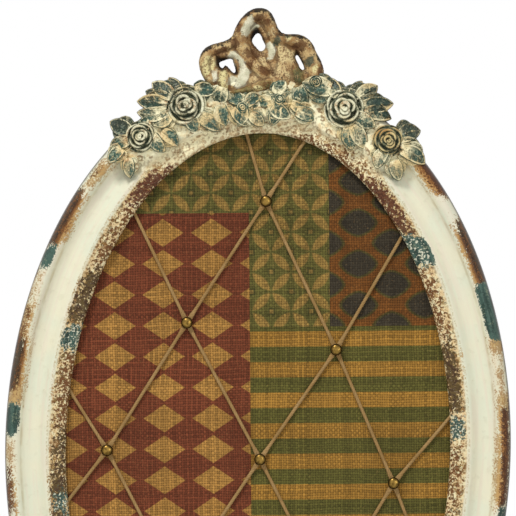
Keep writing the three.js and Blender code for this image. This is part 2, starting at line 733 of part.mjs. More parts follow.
function strapGeometry() {
  const side = new THREE.Shape();
  const meet = Math.asin((barDrop - strapFront) / loopRadius); // where the strap runs into its loop
  side.moveTo(-strapLength, -seatGap);
  side.lineTo(-strapLength, -strapFront);
  side.absarc(0, -barDrop, loopRadius, Math.PI - meet, 2.5 * Math.PI, false);
  side.closePath();
  side.holes.push(new THREE.Path().absarc(0, -barDrop, ringWire / 2 + ringClearance, 0, 2 * Math.PI, true));
  const strap = new THREE.ExtrudeGeometry(side, {
    depth: strapWidth, bevelEnabled: false, curveSegments: loopSteps,
  });
  // The side view's x runs up the board and its y along the board's z, so the extrusion runs across.
  strap.translate(0, 0, -strapWidth / 2);
  strap.applyMatrix4(new THREE.Matrix4().set(0, 0, 1, 0, 1, 0, 0, 0, 0, 1, 0, 0, 0, 0, 0, 1));
  const bore = screwDiameter / 2 + seatGap;
  const hole = roundBar(0, -strapScrewDrop, bore, -strapFront - cutOverrun, cutOverrun, boreSides);
  return geometryOf(solidOf(strap).subtract(hole));
}

function ringBody() {
  const half = (ringInnerWidth + ringWire) / 2;
  const points = Array.from({ length: ringSteps - 2 }, (_, step) => {
    const angle = (Math.PI * step) / (ringSteps - 3);
    return new THREE.Vector3(half * Math.cos(angle), ringReach * Math.sin(angle), 0);
  });
  points.push(new THREE.Vector3(-half / 3, 0, 0), new THREE.Vector3(half / 3, 0, 0));
  return sweptTube(flatKnots(points, ringWire, ringWire), ringSides, true);
}

// Materials
function material(color, roughness, metalness = 0) {
  return new THREE.MeshStandardMaterial({ color, roughness, metalness, flatShading: true });
}

const castPaint = material(0xd9d2b4, 0.6);
const ribbonPaint = material(0xa9844f, 0.6);
const rosePaint = material(0xa79f83, 0.6);
const leafPaint = material(0x5a6f62, 0.6);
const burlap = material(0x7d5634, 0.95);
const wadding = material(0xe8e4d8, 1);
const fibreboard = material(0xb08a5c, 0.9);
const hardboard = material(0x5f4630, 0.85);
const jute = material(0xa98654, 0.95);
const oldBrass = material(0x9a7b3a, 0.35, 1);
const zincSteel = material(0xa8a8a4, 0.4, 1);
const blackSteel = material(0x2c2b2a, 0.5, 1);
const rubber = material(0x2a2826, 0.9);

const board = new THREE.Group();
const pieces = new THREE.Group();
pieces.add(board);

function add(name, shape, look, x = 0, y = 0, turn = 0, height = 0) {
  const geometry = shape.isBufferGeometry ? shape : geometryOf(shape);
  const mesh = new THREE.Mesh(geometry, look);
  mesh.name = name;
  mesh.position.set(x, y, height);
  mesh.rotation.z = turn;
  board.add(mesh);
  return mesh;
}

// Assembly: back hardware places
const buttonPlaces = buttonTurns.map((turn) => ovalPoint(turn * degrees, buttonPivotInset, 0));
const hangerPlaces = hangerTurns.map((turn) => ovalPoint(turn * degrees, hangerInset, 0));
const bumperPlaces = bumperTurns.map((turn) => ovalPoint(turn * degrees, bumperInset, 0));
const barRise = strapLength / 2; // of the bar over the hanger's place
const hookHeight = hangerPlaces[0].y + barRise + ringReach - ringWire / 2;

function withScrewHole(solid, place) {
  const radius = screwDiameter / 2 + seatGap;
  return solid.subtract(roundBar(place.x, place.y, radius, -cutOverrun, screwReach + seatGap, boreSides));
}

// Assembly: moulding and crest
const strapScrewPlaces = hangerPlaces.map(({ x, y }) => new THREE.Vector2(x, y + barRise - strapScrewDrop));
const screwPlaces = [...buttonPlaces, ...strapScrewPlaces];
add("oval_moulding", screwPlaces.reduce(withScrewHole, mouldingBody()), castPaint);

// The room of the moulding, and the space outside it and under the castings' overhang.
const overhangRoom = solidOf(bodyFromRings([
  ovalLoop(-overhangReach, 0),
  ovalLoop(rabbetInset / 2, 0),
  ovalLoop(rabbetInset / 2, ledgeHeight),
  ovalLoop(0, overhangUnderside),
  ovalLoop(-overhangReach, overhangUnderside),
], true));
const mouldingRoom = mouldingBody(seatGap).add(overhangRoom);
const roseRooms = roses.map(roseRoom);
const bow = largestBody(bowBody().subtract(mouldingBody(seatGap)));
add("ribbon_bow", bow, ribbonPaint);
let taken = bowBody(seatGap);
leafGroups.forEach((group) => {
  const rooms = [mouldingRoom, taken, ...roseRooms];
  const body = rooms.reduce((kept, room) => kept.subtract(room), leafGroupBody(group));
  add(group.name, largestBody(body), leafPaint);
  taken = taken.add(leafGroupBody(group, seatGap));
});
roses.forEach((rose) => {
  const place = crestPlace(rose);
  add(rose.name, roseGeometry(rose), rosePaint, place.x, place.y, 0, castSeat + seatGap);
});

// Assembly: panel
const stapleTurns = strands.flatMap((strand) => [strand.from, strand.to]);
const staplesRoom = stapleTurns.map((turn) => stapleBody(turn, seatGap));
const withAllHoles = (solid) =>
  staplesRoom.reduce((kept, room) => kept.subtract(room), withTackHoles(solid, tackPlaces));
add("burlap_cover", withAllHoles(clothBody()), burlap);
add("wadding_layer", withTackHoles(paddingBody(), tackPlaces), wadding);
add("fibreboard_core", withAllHoles(flatPlate(layerInset, coreBack, coreFront)), fibreboard);
add("backing_panel", flatPlate(rabbetInset + backingSlack, 0, backingThickness), hardboard);

// Assembly: twine, staples and tacks
strands.forEach((strand) => add(strand.name, strandBody(strand), jute));
stapleTurns.forEach((turn, at) => add("staple_" + (at + 1), stapleBody(turn), zincSteel));
tackPlaces.forEach((place, at) => {
  add("brass_tack_" + (at + 1), tackGeometry(place), oldBrass, place.x, place.y, 0, tackSeat(place));
});

// Assembly: turn buttons, hangers and bumpers
const buttonScrew = screwBody(2 * seatGap + buttonThickness);
buttonPlaces.forEach((place, at) => {
  const inwards = Math.atan2(-place.y, -place.x);
  add("turn_button_" + (at + 1), turnButtonGeometry(), blackSteel, place.x, place.y, inwards);
  add("button_screw_" + (at + 1), buttonScrew, zincSteel, place.x, place.y, inwards);
});
["left", "right"].forEach((side, at) => {
  const place = hangerPlaces[at];
  const barY = place.y + barRise;
  add("hanger_strap_" + side, strapGeometry(), zincSteel, place.x, barY);
  const ring = add("hanger_ring_" + side, ringBody(), zincSteel, place.x, barY, 0, -barDrop);
  ring.rotation.x = Math.PI + ringLean;
  add("hanger_screw_" + side, screwBody(strapFront + seatGap), zincSteel, place.x, barY - strapScrewDrop);
  const foot = bumperPlaces[at];
  const disc = roundBar(0, 0, bumperDiameter / 2, -wallGap, -seatGap, screwSides);
  add("wall_bumper_" + side, disc, rubber, foot.x, foot.y);
});

// The board's z becomes -Y, and the hooks' height becomes z = 0.
board.rotation.x = Math.PI / 2;
board.position.set(0, -wallGap, -hookHeight);

export default pieces;
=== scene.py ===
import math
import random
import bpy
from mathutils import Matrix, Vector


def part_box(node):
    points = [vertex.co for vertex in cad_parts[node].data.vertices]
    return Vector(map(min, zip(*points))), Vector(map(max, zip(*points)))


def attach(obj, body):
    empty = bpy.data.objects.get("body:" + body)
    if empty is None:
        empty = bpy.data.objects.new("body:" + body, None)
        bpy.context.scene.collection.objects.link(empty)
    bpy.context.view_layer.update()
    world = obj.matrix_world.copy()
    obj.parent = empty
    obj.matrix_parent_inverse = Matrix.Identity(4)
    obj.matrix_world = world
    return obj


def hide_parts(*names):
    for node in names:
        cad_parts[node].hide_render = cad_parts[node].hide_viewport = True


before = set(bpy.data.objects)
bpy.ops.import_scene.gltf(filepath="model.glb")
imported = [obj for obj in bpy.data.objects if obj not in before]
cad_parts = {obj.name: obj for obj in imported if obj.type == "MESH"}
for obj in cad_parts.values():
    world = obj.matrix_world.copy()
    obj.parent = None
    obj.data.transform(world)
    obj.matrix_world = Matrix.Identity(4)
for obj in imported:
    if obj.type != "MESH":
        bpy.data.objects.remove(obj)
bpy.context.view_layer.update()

# The looks of an oval pin board: a distressed cast moulding with a crest of roses, leaves and a ribbon
# bow, round a padded panel of printed burlap that is crossed by tacked twine.
from types import SimpleNamespace

import bpy
import numpy as np
from mathutils import Euler, Vector, noise
from mathutils.geometry import delaunay_2d_cdt

# Board coordinates, in millimetres: x across, up from the oval's centre, and height over the plane of
# the moulding's back, towards the viewer.
MM = 0.001
moulding_low, moulding_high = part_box("oval_moulding")
HALF_WIDTH = (moulding_high.x - moulding_low.x) / 2 / MM
HALF_HEIGHT = (moulding_high.z - moulding_low.z) / 2 / MM
CENTRE_Z = (moulding_high.z + moulding_low.z) / 2 / MM
BACK_Y = moulding_high.y / MM
RIDGE = BACK_Y - moulding_low.y / MM


def to_frame(points):
    """Board points in millimetres as frame points in metres."""
    points = np.asarray(points, float)
    x, up, height = points[..., 0], points[..., 1], points[..., 2]
    return np.stack([x, BACK_Y - height, CENTRE_Z + up], -1) * MM


def board_box(node):
    """A node's lowest and highest corners in board coordinates."""
    low, high = (np.array(corner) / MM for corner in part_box(node))
    return (
        np.array([low[0], low[2] - CENTRE_Z, BACK_Y - high[1]]),
        np.array([high[0], high[2] - CENTRE_Z, BACK_Y - low[1]]),
    )


# Sizes of the moulding and of the panel's layers
MOULDING_WIDTH = 52
FACE_RISE = 12
LEDGE = RIDGE - FACE_RISE
RABBET_INSET = 43.5
SIGHT_HALF_WIDTH = HALF_WIDTH - MOULDING_WIDTH
SIGHT_HALF_HEIGHT = HALF_HEIGHT - MOULDING_WIDTH
MOULDING_STEPS = 1120
SECTION_STEP = 0.9
TWINE = 3
TWINE_PRESSED_WIDTH = 4.4
TWINE_PRESSED_HEIGHT = 1.8
SEAT_GAP = 0.3
CLOTH_INSET = HALF_WIDTH - board_box("burlap_cover")[1][0]
CLOTH_BACK = board_box("burlap_cover")[0][2]
CLOTH_THICKNESS = 0.8
CLOTH_ROUND = 1.5
CLOTH_FLANGE = 26
CLOTH_CROWN = 3
CLOTH_EDGE_FRONT = board_box("burlap_cover")[1][2] - CLOTH_CROWN
CORE_BACK = board_box("fibreboard_core")[0][2]
CAST_SEAT = RIDGE + 1.8
ROSE_HEIGHT = 9.5

DEGREES = math.pi / 180


# Numbers


def smoothstep(low, high, value):
    share = np.clip((np.asarray(value, float) - low) / (high - low), 0, 1)
    return share * share * (3 - 2 * share)


def lerp(low, high, share):
    return low + (high - low) * share


def lengths_along(points):
    """How far along a line each of its points lies."""
    return np.concatenate([[0], np.cumsum(np.linalg.norm(np.diff(points, axis=0), axis=1))])


def smooth_line(points, step, closed=False):
    """Points a step apart on a Catmull-Rom curve through the given points, whose columns may hold more
    than a place; the first three columns at most are measured."""
    points = np.asarray(points, float)
    count = len(points)
    if closed:
        ring = np.concatenate([points[-1:], points, points[:2]])
        spans = count
    else:
        ring = np.concatenate([2 * points[:1] - points[1:2], points, 2 * points[-1:] - points[-2:-1]])
        spans = count - 1
    fine = np.linspace(0, 1, 24, endpoint=False)[:, None]
    parts = []
    for at in range(spans):
        a, b, c, d = ring[at : at + 4]
        square, cube = 2 * a - 5 * b + 4 * c - d, 3 * b - a - 3 * c + d
        parts.append(0.5 * (2 * b + (c - a) * fine + square * fine**2 + cube * fine**3))
    parts.append(points[:1] if closed else points[-1:])
    dense = np.concatenate(parts)
    along = lengths_along(dense[:, :3])
    wanted = np.linspace(0, along[-1], max(3, round(along[-1] / step)) + 1)
    line = np.stack([np.interp(wanted, along, column) for column in dense.T], -1)
    return line[:-1] if closed else line


def noise_at(points, size, seed=0.0):
    """Smooth noise from about -1 to 1 at each point, with lumps of about the given size."""
    shift = Vector((seed, seed * 1.7, -seed))
    return np.array([noise.noise(Vector(point) / size + shift) for point in points])


# The oval


def oval(turn, inset=0.0):
    """Board points in plan on the oval at each turn, moved in by inset along its normal."""
    cos, sin = np.cos(turn), np.sin(turn)
    across, up = cos / HALF_WIDTH, sin / HALF_HEIGHT
    length = np.hypot(across, up)
    return np.stack([HALF_WIDTH * cos - across / length * inset, HALF_HEIGHT * sin - up / length * inset], -1)


def even_turns(count):
    """Turns that share out the oval's length evenly."""
    turns = np.linspace(0, 2 * math.pi, 4 * count + 1)
    along = lengths_along(oval(turns))
    return np.interp(np.linspace(0, along[-1], count, endpoint=False), along, turns)


def inset_at(x, up):
    """How far inside the oval's outer edge each point lies."""
    x, up = np.asarray(x, float), np.asarray(up, float)
    turn = np.arctan2(up / HALF_HEIGHT, x / HALF_WIDTH)
    for _ in range(6):
        slope = np.stack([-HALF_WIDTH * np.sin(turn), HALF_HEIGHT * np.cos(turn)], -1)
        away = np.stack([x, up], -1) - oval(turn)
        turn = turn + (away * slope).sum(-1) / (slope * slope).sum(-1)
    away = np.stack([x, up], -1) - oval(turn)
    inside = np.hypot(x / HALF_WIDTH, up / HALF_HEIGHT) < 1
    return np.linalg.norm(away, axis=-1) * np.where(inside, 1, -1)


# The moulding's face: inset as a share of its width, height over the ledge as a share of the face's rise
FACE_SHARES = [
    (0.012, 0.2), (0.022, 0.42), (0.045, 0.62), (0.096, 0.88), (0.155, 1.0), (0.215, 0.93), (0.262, 0.75),
    (0.274, 0.64), (0.286, 0.6), (0.345, 0.42), (0.44, 0.3), (0.54, 0.38), (0.61, 0.56), (0.655, 0.7),
    (0.7, 0.75), (0.745, 0.68), (0.775, 0.62), (0.86, 0.52), (0.93, 0.43), (0.97, 0.34), (0.99, 0.26),
    (1.0, 0.14),
]
face_line = smooth_line([(inset * MOULDING_WIDTH, LEDGE + rise * FACE_RISE) for inset, rise in FACE_SHARES],
                        SECTION_STEP)


def ground_at(x, up):
    """The height of the moulding's face under each point."""
    return np.interp(inset_at(x, up), face_line[:, 0], face_line[:, 1])


# Meshes


def grid_faces(rows, columns, wrap_rows=False, wrap_columns=False):
    row = np.arange(rows if wrap_rows else rows - 1)[:, None]
    column = np.arange(columns if wrap_columns else columns - 1)
    next_row, next_column = (row + 1) % rows, (column + 1) % columns
    corners = [row * columns + column, row * columns + next_column,
               next_row * columns + next_column, next_row * columns + column]
    return np.stack(corners, -1).reshape(-1, 4).tolist()


def closed_grid(rows, sides):
    """The faces of a closed body made of rows of points round it, with its two ends."""
    ends = [list(reversed(range(sides))), [(rows - 1) * sides + corner for corner in range(sides)]]
    return grid_faces(rows, sides, wrap_columns=True) + ends


def faces_outwards(points, faces):
    """The faces, turned round if the closed body they make is inside out."""
    volume = 0.0
    for count in {len(face) for face in faces}:
        group = np.array([face for face in faces if len(face) == count])
        corner = [points[group[:, at]] for at in range(count)]
        for at in range(1, count - 1):
            volume += np.einsum("ij,ij->", corner[0], np.cross(corner[at], corner[at + 1]))
    return faces if volume > 0 else [face[::-1] for face in faces]


def plain_mesh(name, points, faces):
    """A mesh in the frame's place from board points, with its faces as they are."""
    mesh = bpy.data.meshes.new(name)
    mesh.from_pydata(to_frame(points).tolist(), [], faces)
    mesh.update()
    return mesh


def make_mesh(name, points, faces):
    """A mesh of one closed body, with its faces turned outwards."""
    mesh = plain_mesh(name, points, faces_outwards(points, faces))
    mesh.validate()
    mesh.update()
    return mesh


def mesh_of_bodies(name, bodies):
    """One mesh of several closed bodies, each turned outwards. A body is its points and its faces, and
    then how deep each point lies in a hollow where the bodies store that."""
    points, faces, hollows = [], [], []
    for body_points, body_faces, *hollow in bodies:
        start = sum(len(group) for group in points)
        points.append(body_points)
        faces += [[start + corner for corner in face] for face in faces_outwards(body_points, body_faces)]
        hollows += hollow
    mesh = plain_mesh(name, np.concatenate(points), faces)
    if hollows:
        set_value(mesh, "hollow", np.concatenate(hollows))
    return mesh


def smooth_shading(mesh):
    mesh.polygons.foreach_set("use_smooth", np.ones(len(mesh.polygons), bool))


def vertex_rows(mesh, name):
    """A mesh's vertex places or normals in the frame's axes."""
    values = np.empty(3 * len(mesh.vertices), np.float32)
    mesh.vertices.foreach_get(name, values)
    return values.reshape(-1, 3).astype(float)


def points_of(mesh):
    """A mesh's points in board coordinates."""
    x, y, z = vertex_rows(mesh, "co").T / MM
    return np.stack([x, z - CENTRE_Z, BACK_Y - y], -1)


def normals_of(mesh):
    """A mesh's vertex normals in board coordinates."""
    x, y, z = vertex_rows(mesh, "normal").T
    return np.stack([x, z, -y], -1)


def set_points(mesh, points):
    mesh.vertices.foreach_set("co", to_frame(points).astype(np.float32).ravel())
    mesh.update()


def set_value(mesh, name, values):
    """Stores a number for each vertex, for the materials to read."""
    layer = mesh.attributes.new(name, "FLOAT", "POINT")
    layer.data.foreach_set("value", np.asarray(values, np.float32))


def neighbour_mean(values, edges):
    """Each vertex's mean over its neighbours."""
    count = len(values)
    share = np.bincount(edges.ravel(), minlength=count).clip(1)
    columns = []
    for column in values.T:
        total = np.bincount(edges[:, 0], column[edges[:, 1]], count)
        total += np.bincount(edges[:, 1], column[edges[:, 0]], count)
        columns.append(total / share)
    return np.stack(columns, -1)


def edges_of(mesh):
    edges = np.empty(2 * len(mesh.edges), np.int32)
    mesh.edges.foreach_get("vertices", edges)
    return edges.reshape(-1, 2)


def softened(values, edges, rounds, share=1.0):
    """Values of the vertices, moved by a share towards their neighbours' mean in each round."""
    for _ in range(rounds):
        values = lerp(values, neighbour_mean(values, edges), share)
    return values


def mark_hollows(mesh, rounds, depths):
    """Stores how deep each vertex lies in a hollow: 0.5 on a plain surface, 1 in a crevice, 0 on a crest.
    It compares the surface with a copy that is softened for each number of rounds."""
    points, normals, edges = points_of(mesh), normals_of(mesh), edges_of(mesh)
    soft, done, hollow = points, 0, np.zeros(len(points))
    for wanted, depth in zip(rounds, depths):
        soft = softened(soft, edges, wanted - done)
        done = wanted
        hollow += ((soft - points) * normals).sum(-1) / depth
    set_value(mesh, "hollow", np.clip(0.5 + 0.5 * hollow / len(rounds), 0, 1))


def add_piece(mesh, look, replaces=(), body="board"):
    """Makes an object of a mesh, gives it its material and ties it to the frame."""
    piece = bpy.data.objects.new(mesh.name, mesh)
    bpy.context.scene.collection.objects.link(piece)
    smooth_shading(mesh)
    mesh.materials.clear()
    mesh.materials.append(look)
    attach(piece, body)
    if replaces:
        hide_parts(*replaces)
    return piece


def round_section(sides):
    angles = 2 * math.pi * np.arange(sides) / sides
    return np.stack([np.cos(angles), np.sin(angles)], -1)


def tube(knots, section, capped=True):
    """A body swept through knots: rows of place, the way its height points, half width and half height.
    The section is a list of unit points, or a function that gives them for each knot's number."""
    places = np.array([knot[0] for knot in knots], float)
    ways = np.array([knot[1] for knot in knots], float)
    if capped:
        along = np.gradient(places, axis=0)
    else:
        along = np.roll(places, -1, axis=0) - np.roll(places, 1, axis=0)
    side = np.cross(ways, along)
    side /= np.linalg.norm(side, axis=1, keepdims=True)
    rise = np.cross(along, side)
    rise /= np.linalg.norm(rise, axis=1, keepdims=True)
    rows = []
    for at, (_, _, half_width, half_height) in enumerate(knots):
        unit = np.asarray(section(at) if callable(section) else section, float)
        rows.append(places[at] + unit[:, :1] * half_width * side[at] + unit[:, 1:] * half_height * rise[at])
    rows = np.array(rows)
    count, sides = rows.shape[:2]
    faces = closed_grid(count, sides) if capped else grid_faces(count, sides, True, True)
    return rows.reshape(-1, 3), faces


def turned(profile, sides, place):
    """A body turned about an axis along the height, at its place: a profile of (radius, height) rows."""
    profile = np.asarray(profile, float)
    plan = profile[:, None, :1] * round_section(sides)[None] + np.asarray(place, float)
    rings = np.concatenate([plan, np.repeat(profile[:, None, 1:], sides, axis=1)], -1)
    return rings.reshape(-1, 3), closed_grid(len(profile), sides)


def set_down(shape, place, turn):
    """A shape's points, turned in plan about its origin and moved to its place."""
    x, y, height = np.asarray(shape, float).reshape(-1, 3).T
    cos, sin = math.cos(turn), math.sin(turn)
    return np.stack([place[0] + x * cos - y * sin, place[1] + x * sin + y * cos, height], -1)


# Node trees


class Field:
    """A number or vector socket of a material's tree, which sums and products can be written with."""

    def __init__(self, tree, socket):
        self.tree, self.socket = tree, socket

    def __rsub__(self, other):
        return self.tree.math("SUBTRACT", other, self)

    def ramp(self, low, high, start=0.0, end=1.0):
        return self.tree.ramp(self, low, high, start, end)


def field_method(operation):
    """A method that combines a field with others by one kind of sum."""
    return lambda field, *others: field.tree.math(operation, field, *others)


FIELD_METHODS = {
    "__add__": "ADD", "__radd__": "ADD", "__sub__": "SUBTRACT", "__mul__": "MULTIPLY", "__rmul__": "MULTIPLY",
    "__truediv__": "DIVIDE", "__pow__": "POWER", "__gt__": "GREATER_THAN", "__lt__": "LESS_THAN",
    "__abs__": "ABSOLUTE", "floor": "FLOOR", "fract": "FRACT", "root": "SQRT", "sine": "SINE",
    "least": "MINIMUM", "most": "MAXIMUM",
}
for method, operation in FIELD_METHODS.items():
    setattr(Field, method, field_method(operation))


class Look:
    """One material, built up by short calls. Lengths in it are in millimetres."""

    def __init__(self, name):
        self.material = bpy.data.materials.new(name)
        self.material.use_nodes = True
        self.nodes = self.material.node_tree.nodes
        self.links = self.material.node_tree.links
        self.shader = self.nodes["Principled BSDF"]
        self._place = None

    def connect(self, value, socket):
        if isinstance(value, Field):
            self.links.new(value.socket, socket)
        elif isinstance(value, tuple) and len(value) == 3 and socket.type == "RGBA":
            socket.default_value = (*(linear(part) for part in value), 1)
        else:
            socket.default_value = value

    def node(self, kind, **inputs):
        made = self.nodes.new(kind)
        for key, value in inputs.items():
            self.connect(value, made.inputs[key])
        return made, Field(self, made.outputs[0])

    def math(self, operation, *values):
        made, result = self.node("ShaderNodeMath")
        made.operation = operation
        for socket, value in zip(made.inputs, values):
            self.connect(value, socket)
        return result

    def ramp(self, value, low, high, start=0.0, end=1.0):
        made, result = self.node("ShaderNodeMapRange")
        made.interpolation_type = "SMOOTHSTEP"
        for socket, number in zip(made.inputs, (value, low, high, start, end)):
            self.connect(number, socket)
        return result

    def place(self):
        """The point in the frame, in millimetres."""
        if self._place is None:
            coordinates, _ = self.node("ShaderNodeTexCoord")
            scaled, self._place = self.node("ShaderNodeVectorMath")
            scaled.operation = "SCALE"
            self.links.new(coordinates.outputs["Object"], scaled.inputs[0])
            scaled.inputs["Scale"].default_value = 1 / MM
        return self._place

    def axes(self):
        split, _ = self.node("ShaderNodeSeparateXYZ", Vector=self.place())
        return [Field(self, output) for output in split.outputs]

    def rising(self, low, high):
        """From 0 to 1 between two distances up from the oval's centre."""
        return self.axes()[2].ramp(CENTRE_Z + low, CENTRE_Z + high)

    def vector(self, x, y, z=0.0):
        return self.node("ShaderNodeCombineXYZ", X=x, Y=y, Z=z)[1]

    def noise(self, size, detail=2.0, rough=0.5, vector=None):
        """Noise from 0 to 1 whose lumps are about the given size."""
        return self.node("ShaderNodeTexNoise", Vector=vector or self.place(), Scale=1 / size,
                         Detail=detail, Roughness=rough)[1]

    def cells(self, size):
        """Distance to the nearest of scattered points, in cells."""
        return self.node("ShaderNodeTexVoronoi", Vector=self.place(), Scale=1 / size)[1]

    def random(self, value):
        """A number from 0 to 1 that differs for each value."""
        made = self.nodes.new("ShaderNodeTexWhiteNoise")
        made.noise_dimensions = "1D"
        self.connect(value, made.inputs["W"])
        return Field(self, made.outputs["Value"])

    def stored(self, name):
        made = self.nodes.new("ShaderNodeAttribute")
        made.attribute_name = name
        return Field(self, made.outputs["Fac"])

    def mix(self, share, first, second):
        made = self.nodes.new("ShaderNodeMix")
        made.data_type = "RGBA"
        made.clamp_factor = True
        for key, value in (("Factor", share), (6, first), (7, second)):
            self.connect(value, made.inputs[key])
        return Field(self, made.outputs[2])

    def shade(self, colour, value):
        """The colour, darkened or lightened by a field near 1."""
        made, result = self.node("ShaderNodeVectorMath")
        made.operation = "SCALE"
        self.connect(colour, made.inputs[0])
        self.connect(value, made.inputs["Scale"])
        return result

    def bump(self, height, distance, strength):
        return self.node("ShaderNodeBump", Height=height, Distance=distance * MM, Strength=strength)[1]

    def finish(self, colour, roughness, normal=None, **settings):
        self.connect(colour, self.shader.inputs["Base Color"])
        self.connect(roughness, self.shader.inputs["Roughness"])
        if normal:
            self.connect(normal, self.shader.inputs["Normal"])
        for name, value in settings.items():
            self.connect(value, self.shader.inputs[name.replace("_", " ").title().replace("Ior", "IOR")])
        return self.material


def linear(part):
    """A colour part as it is written for a screen, as light."""
    return part / 12.92 if part <= 0.04045 else ((part + 0.055) / 1.055) ** 2.4


# The moulding

# Patches of old colour: side of the board, up from and to, inset from and to, pigment, strength
PIGMENTS = ("rust", "umber", "teal", "gold")
PATCHES = [
    (-1, 218, 243, 3, 13, "gold", 0.8), (-1, 222, 240, 2, 12, "rust", 0.6),
    (-1, 168, 218, 0, 7.5, "umber", 1),
    (-1, 166, 212, 4, 11, "rust", 1), (-1, 172, 197, 4, 14, "rust", 0.95),
    (-1, 149, 170, 1, 11, "teal", 1), (-1, 122, 149, 0, 8, "gold", 0.35),
    (-1, 84, 122, 0, 10, "gold", 0.7), (-1, 86, 120, 2, 10, "rust", 0.55), (-1, 44, 92, 0, 9, "umber", 0.95),
    (-1, 46, 90, 6, 13, "rust", 0.85), (-1, 6, 34, 1, 13, "teal", 1.05), (-1, -20, 4, 0, 9, "gold", 0.5),
    (-1, -62, -18, 0, 10, "rust", 0.6), (-1, 30, 66, 2, 13, "gold", 0.9), (-1, 40, 88, 10, 15, "gold", 0.4),
    (1, 219, 246, 0, 12, "rust", 1.1), (1, 140, 198, 0, 8, "umber", 1), (1, 138, 190, 4, 11.5, "rust", 0.9),
    (1, 97, 143, 0, 12, "teal", 1.3), (1, 84, 101, 0, 12, "gold", 0.85), (1, 52, 84, 2, 12, "gold", 0.4),
    (1, -48, 40, 3, 11, "rust", 1), (1, -50, 48, 0, 3.5, "umber", 0.9), (1, 30, 54, 0, 12, "gold", 0.7),
    (1, -92, -44, 0, 10, "teal", 0.9), (1, -44, 18, 8, 14, "gold", 0.8), (-1, -70, -24, 38, 50, "umber", 0.8),
    (-1, 206, 235, 39, 52, "umber", 0.72), (-1, 155, 206, 39, 52, "rust", 0.35),
    (-1, 101, 148, 38, 52, "umber", 0.7), (-1, 80, 101, 37, 52, "teal", 0.9),
    (-1, 12, 80, 39, 52, "rust", 0.42),
    (-1, -30, 12, 40, 52, "umber", 0.55), (-1, -61, -40, 38, 52, "teal", 0.6),
    (1, 229, 266, 38, 52, "rust", 0.3), (1, 181, 232, 40, 52, "umber", 0.66),
    (1, 159, 182, 36, 52, "teal", 1.3),
    (1, 34, 92, 41, 52, "umber", 0.75), (1, 60, 92, 37, 45, "rust", 0.35), (1, 9, 32, 38, 52, "teal", 0.7),
    (1, -62, 9, 40, 52, "rust", 0.3), (1, 92, 159, 41, 52, "rust", 0.3),
]
LOWEST_SHOWN = 62


def patch_fields(x, up, inset):
    """How strongly each pigment lies at each point of the moulding, before its edges are broken up."""
    fields = {pigment: np.zeros(len(x)) for pigment in PIGMENTS}
    unseen = [(-side, -high, -low, *rest) for side, low, high, *rest in PATCHES if low > LOWEST_SHOWN]
    for side, low, high, outer, inner, pigment, strength in PATCHES + unseen:
        there = smoothstep(low - 9, low + 9, up) * (1 - smoothstep(high - 9, high + 9, up))
        there *= smoothstep(outer - 3.5, outer + 2.5, inset + 5 * (outer == 0))
        there *= 1 - smoothstep(inner - 5, inner + 4, inset)
        there *= side * x > 0
        fields[pigment] = np.maximum(fields[pigment], there * strength)
    return fields


# The crest's cast ground: middle across and up, and radius, of the rounds that it is made of
CREST_GROUND = [
    (-67.8, 290, 31), (67.8, 290, 31), (-105.4, 262.5, 23), (105.4, 263, 23), (-19, 289, 24), (12, 296, 22),
    (42, 300, 20), (-43, 298, 18),
]
CREST_GROUND_HEIGHT = 32.6


def crest_ground(x, up):
    """How much of the crest's cast ground there is under each point."""
    cover = np.zeros(len(x))
    for middle_x, middle_up, radius in CREST_GROUND:
        away = np.hypot(x - middle_x, up - middle_up)
        cover = np.maximum(cover, smoothstep(radius * 1.12, radius * 0.8, away))
    return cover


# Distances up from the oval's centre between which the crest takes over from the plain moulding
CREST_STARTS, CREST_FULL = 222, 258
# The stippled band: where it starts on the plain moulding, and how much broader it is under the crest
BAND_START = 37.6
BAND_BROADER = 8.5
LUMP_SIZE, LUMP_RISE = 2.6, 0.55
# Slow unevenness of the plain face and of the crest's ground
WAVE_SIZE, WAVE_RISE = 14, 0.12
GROUND_WAVE_SIZE, GROUND_WAVE_RISE = 7, 0.9
# Under the crest the face's inner part is this high over the ledge
LOWERED_RISE = 6.6
SIDE_STEP = 2.5
LIP_ROUND = 0.4


def moulding_section():
    """Rows of inset and height round the moulding's section, and how many of them come before its face."""
    outer = smooth_line([
        (0.06 * MOULDING_WIDTH, 0), (0.02 * MOULDING_WIDTH, 3), (0, 0.45 * LEDGE), (0, 0.8 * LEDGE),
        (0.3, 1.02 * LEDGE), tuple(face_line[0]),
    ], SIDE_STEP)
    inner = [
        (MOULDING_WIDTH, LEDGE + LIP_ROUND), (MOULDING_WIDTH - LIP_ROUND, LEDGE), (RABBET_INSET, LEDGE),
        (RABBET_INSET, LEDGE / 2), (RABBET_INSET, 0), (RABBET_INSET / 2, 0),
    ]
    return np.concatenate([outer[:-1], face_line, inner]), len(outer) - 1


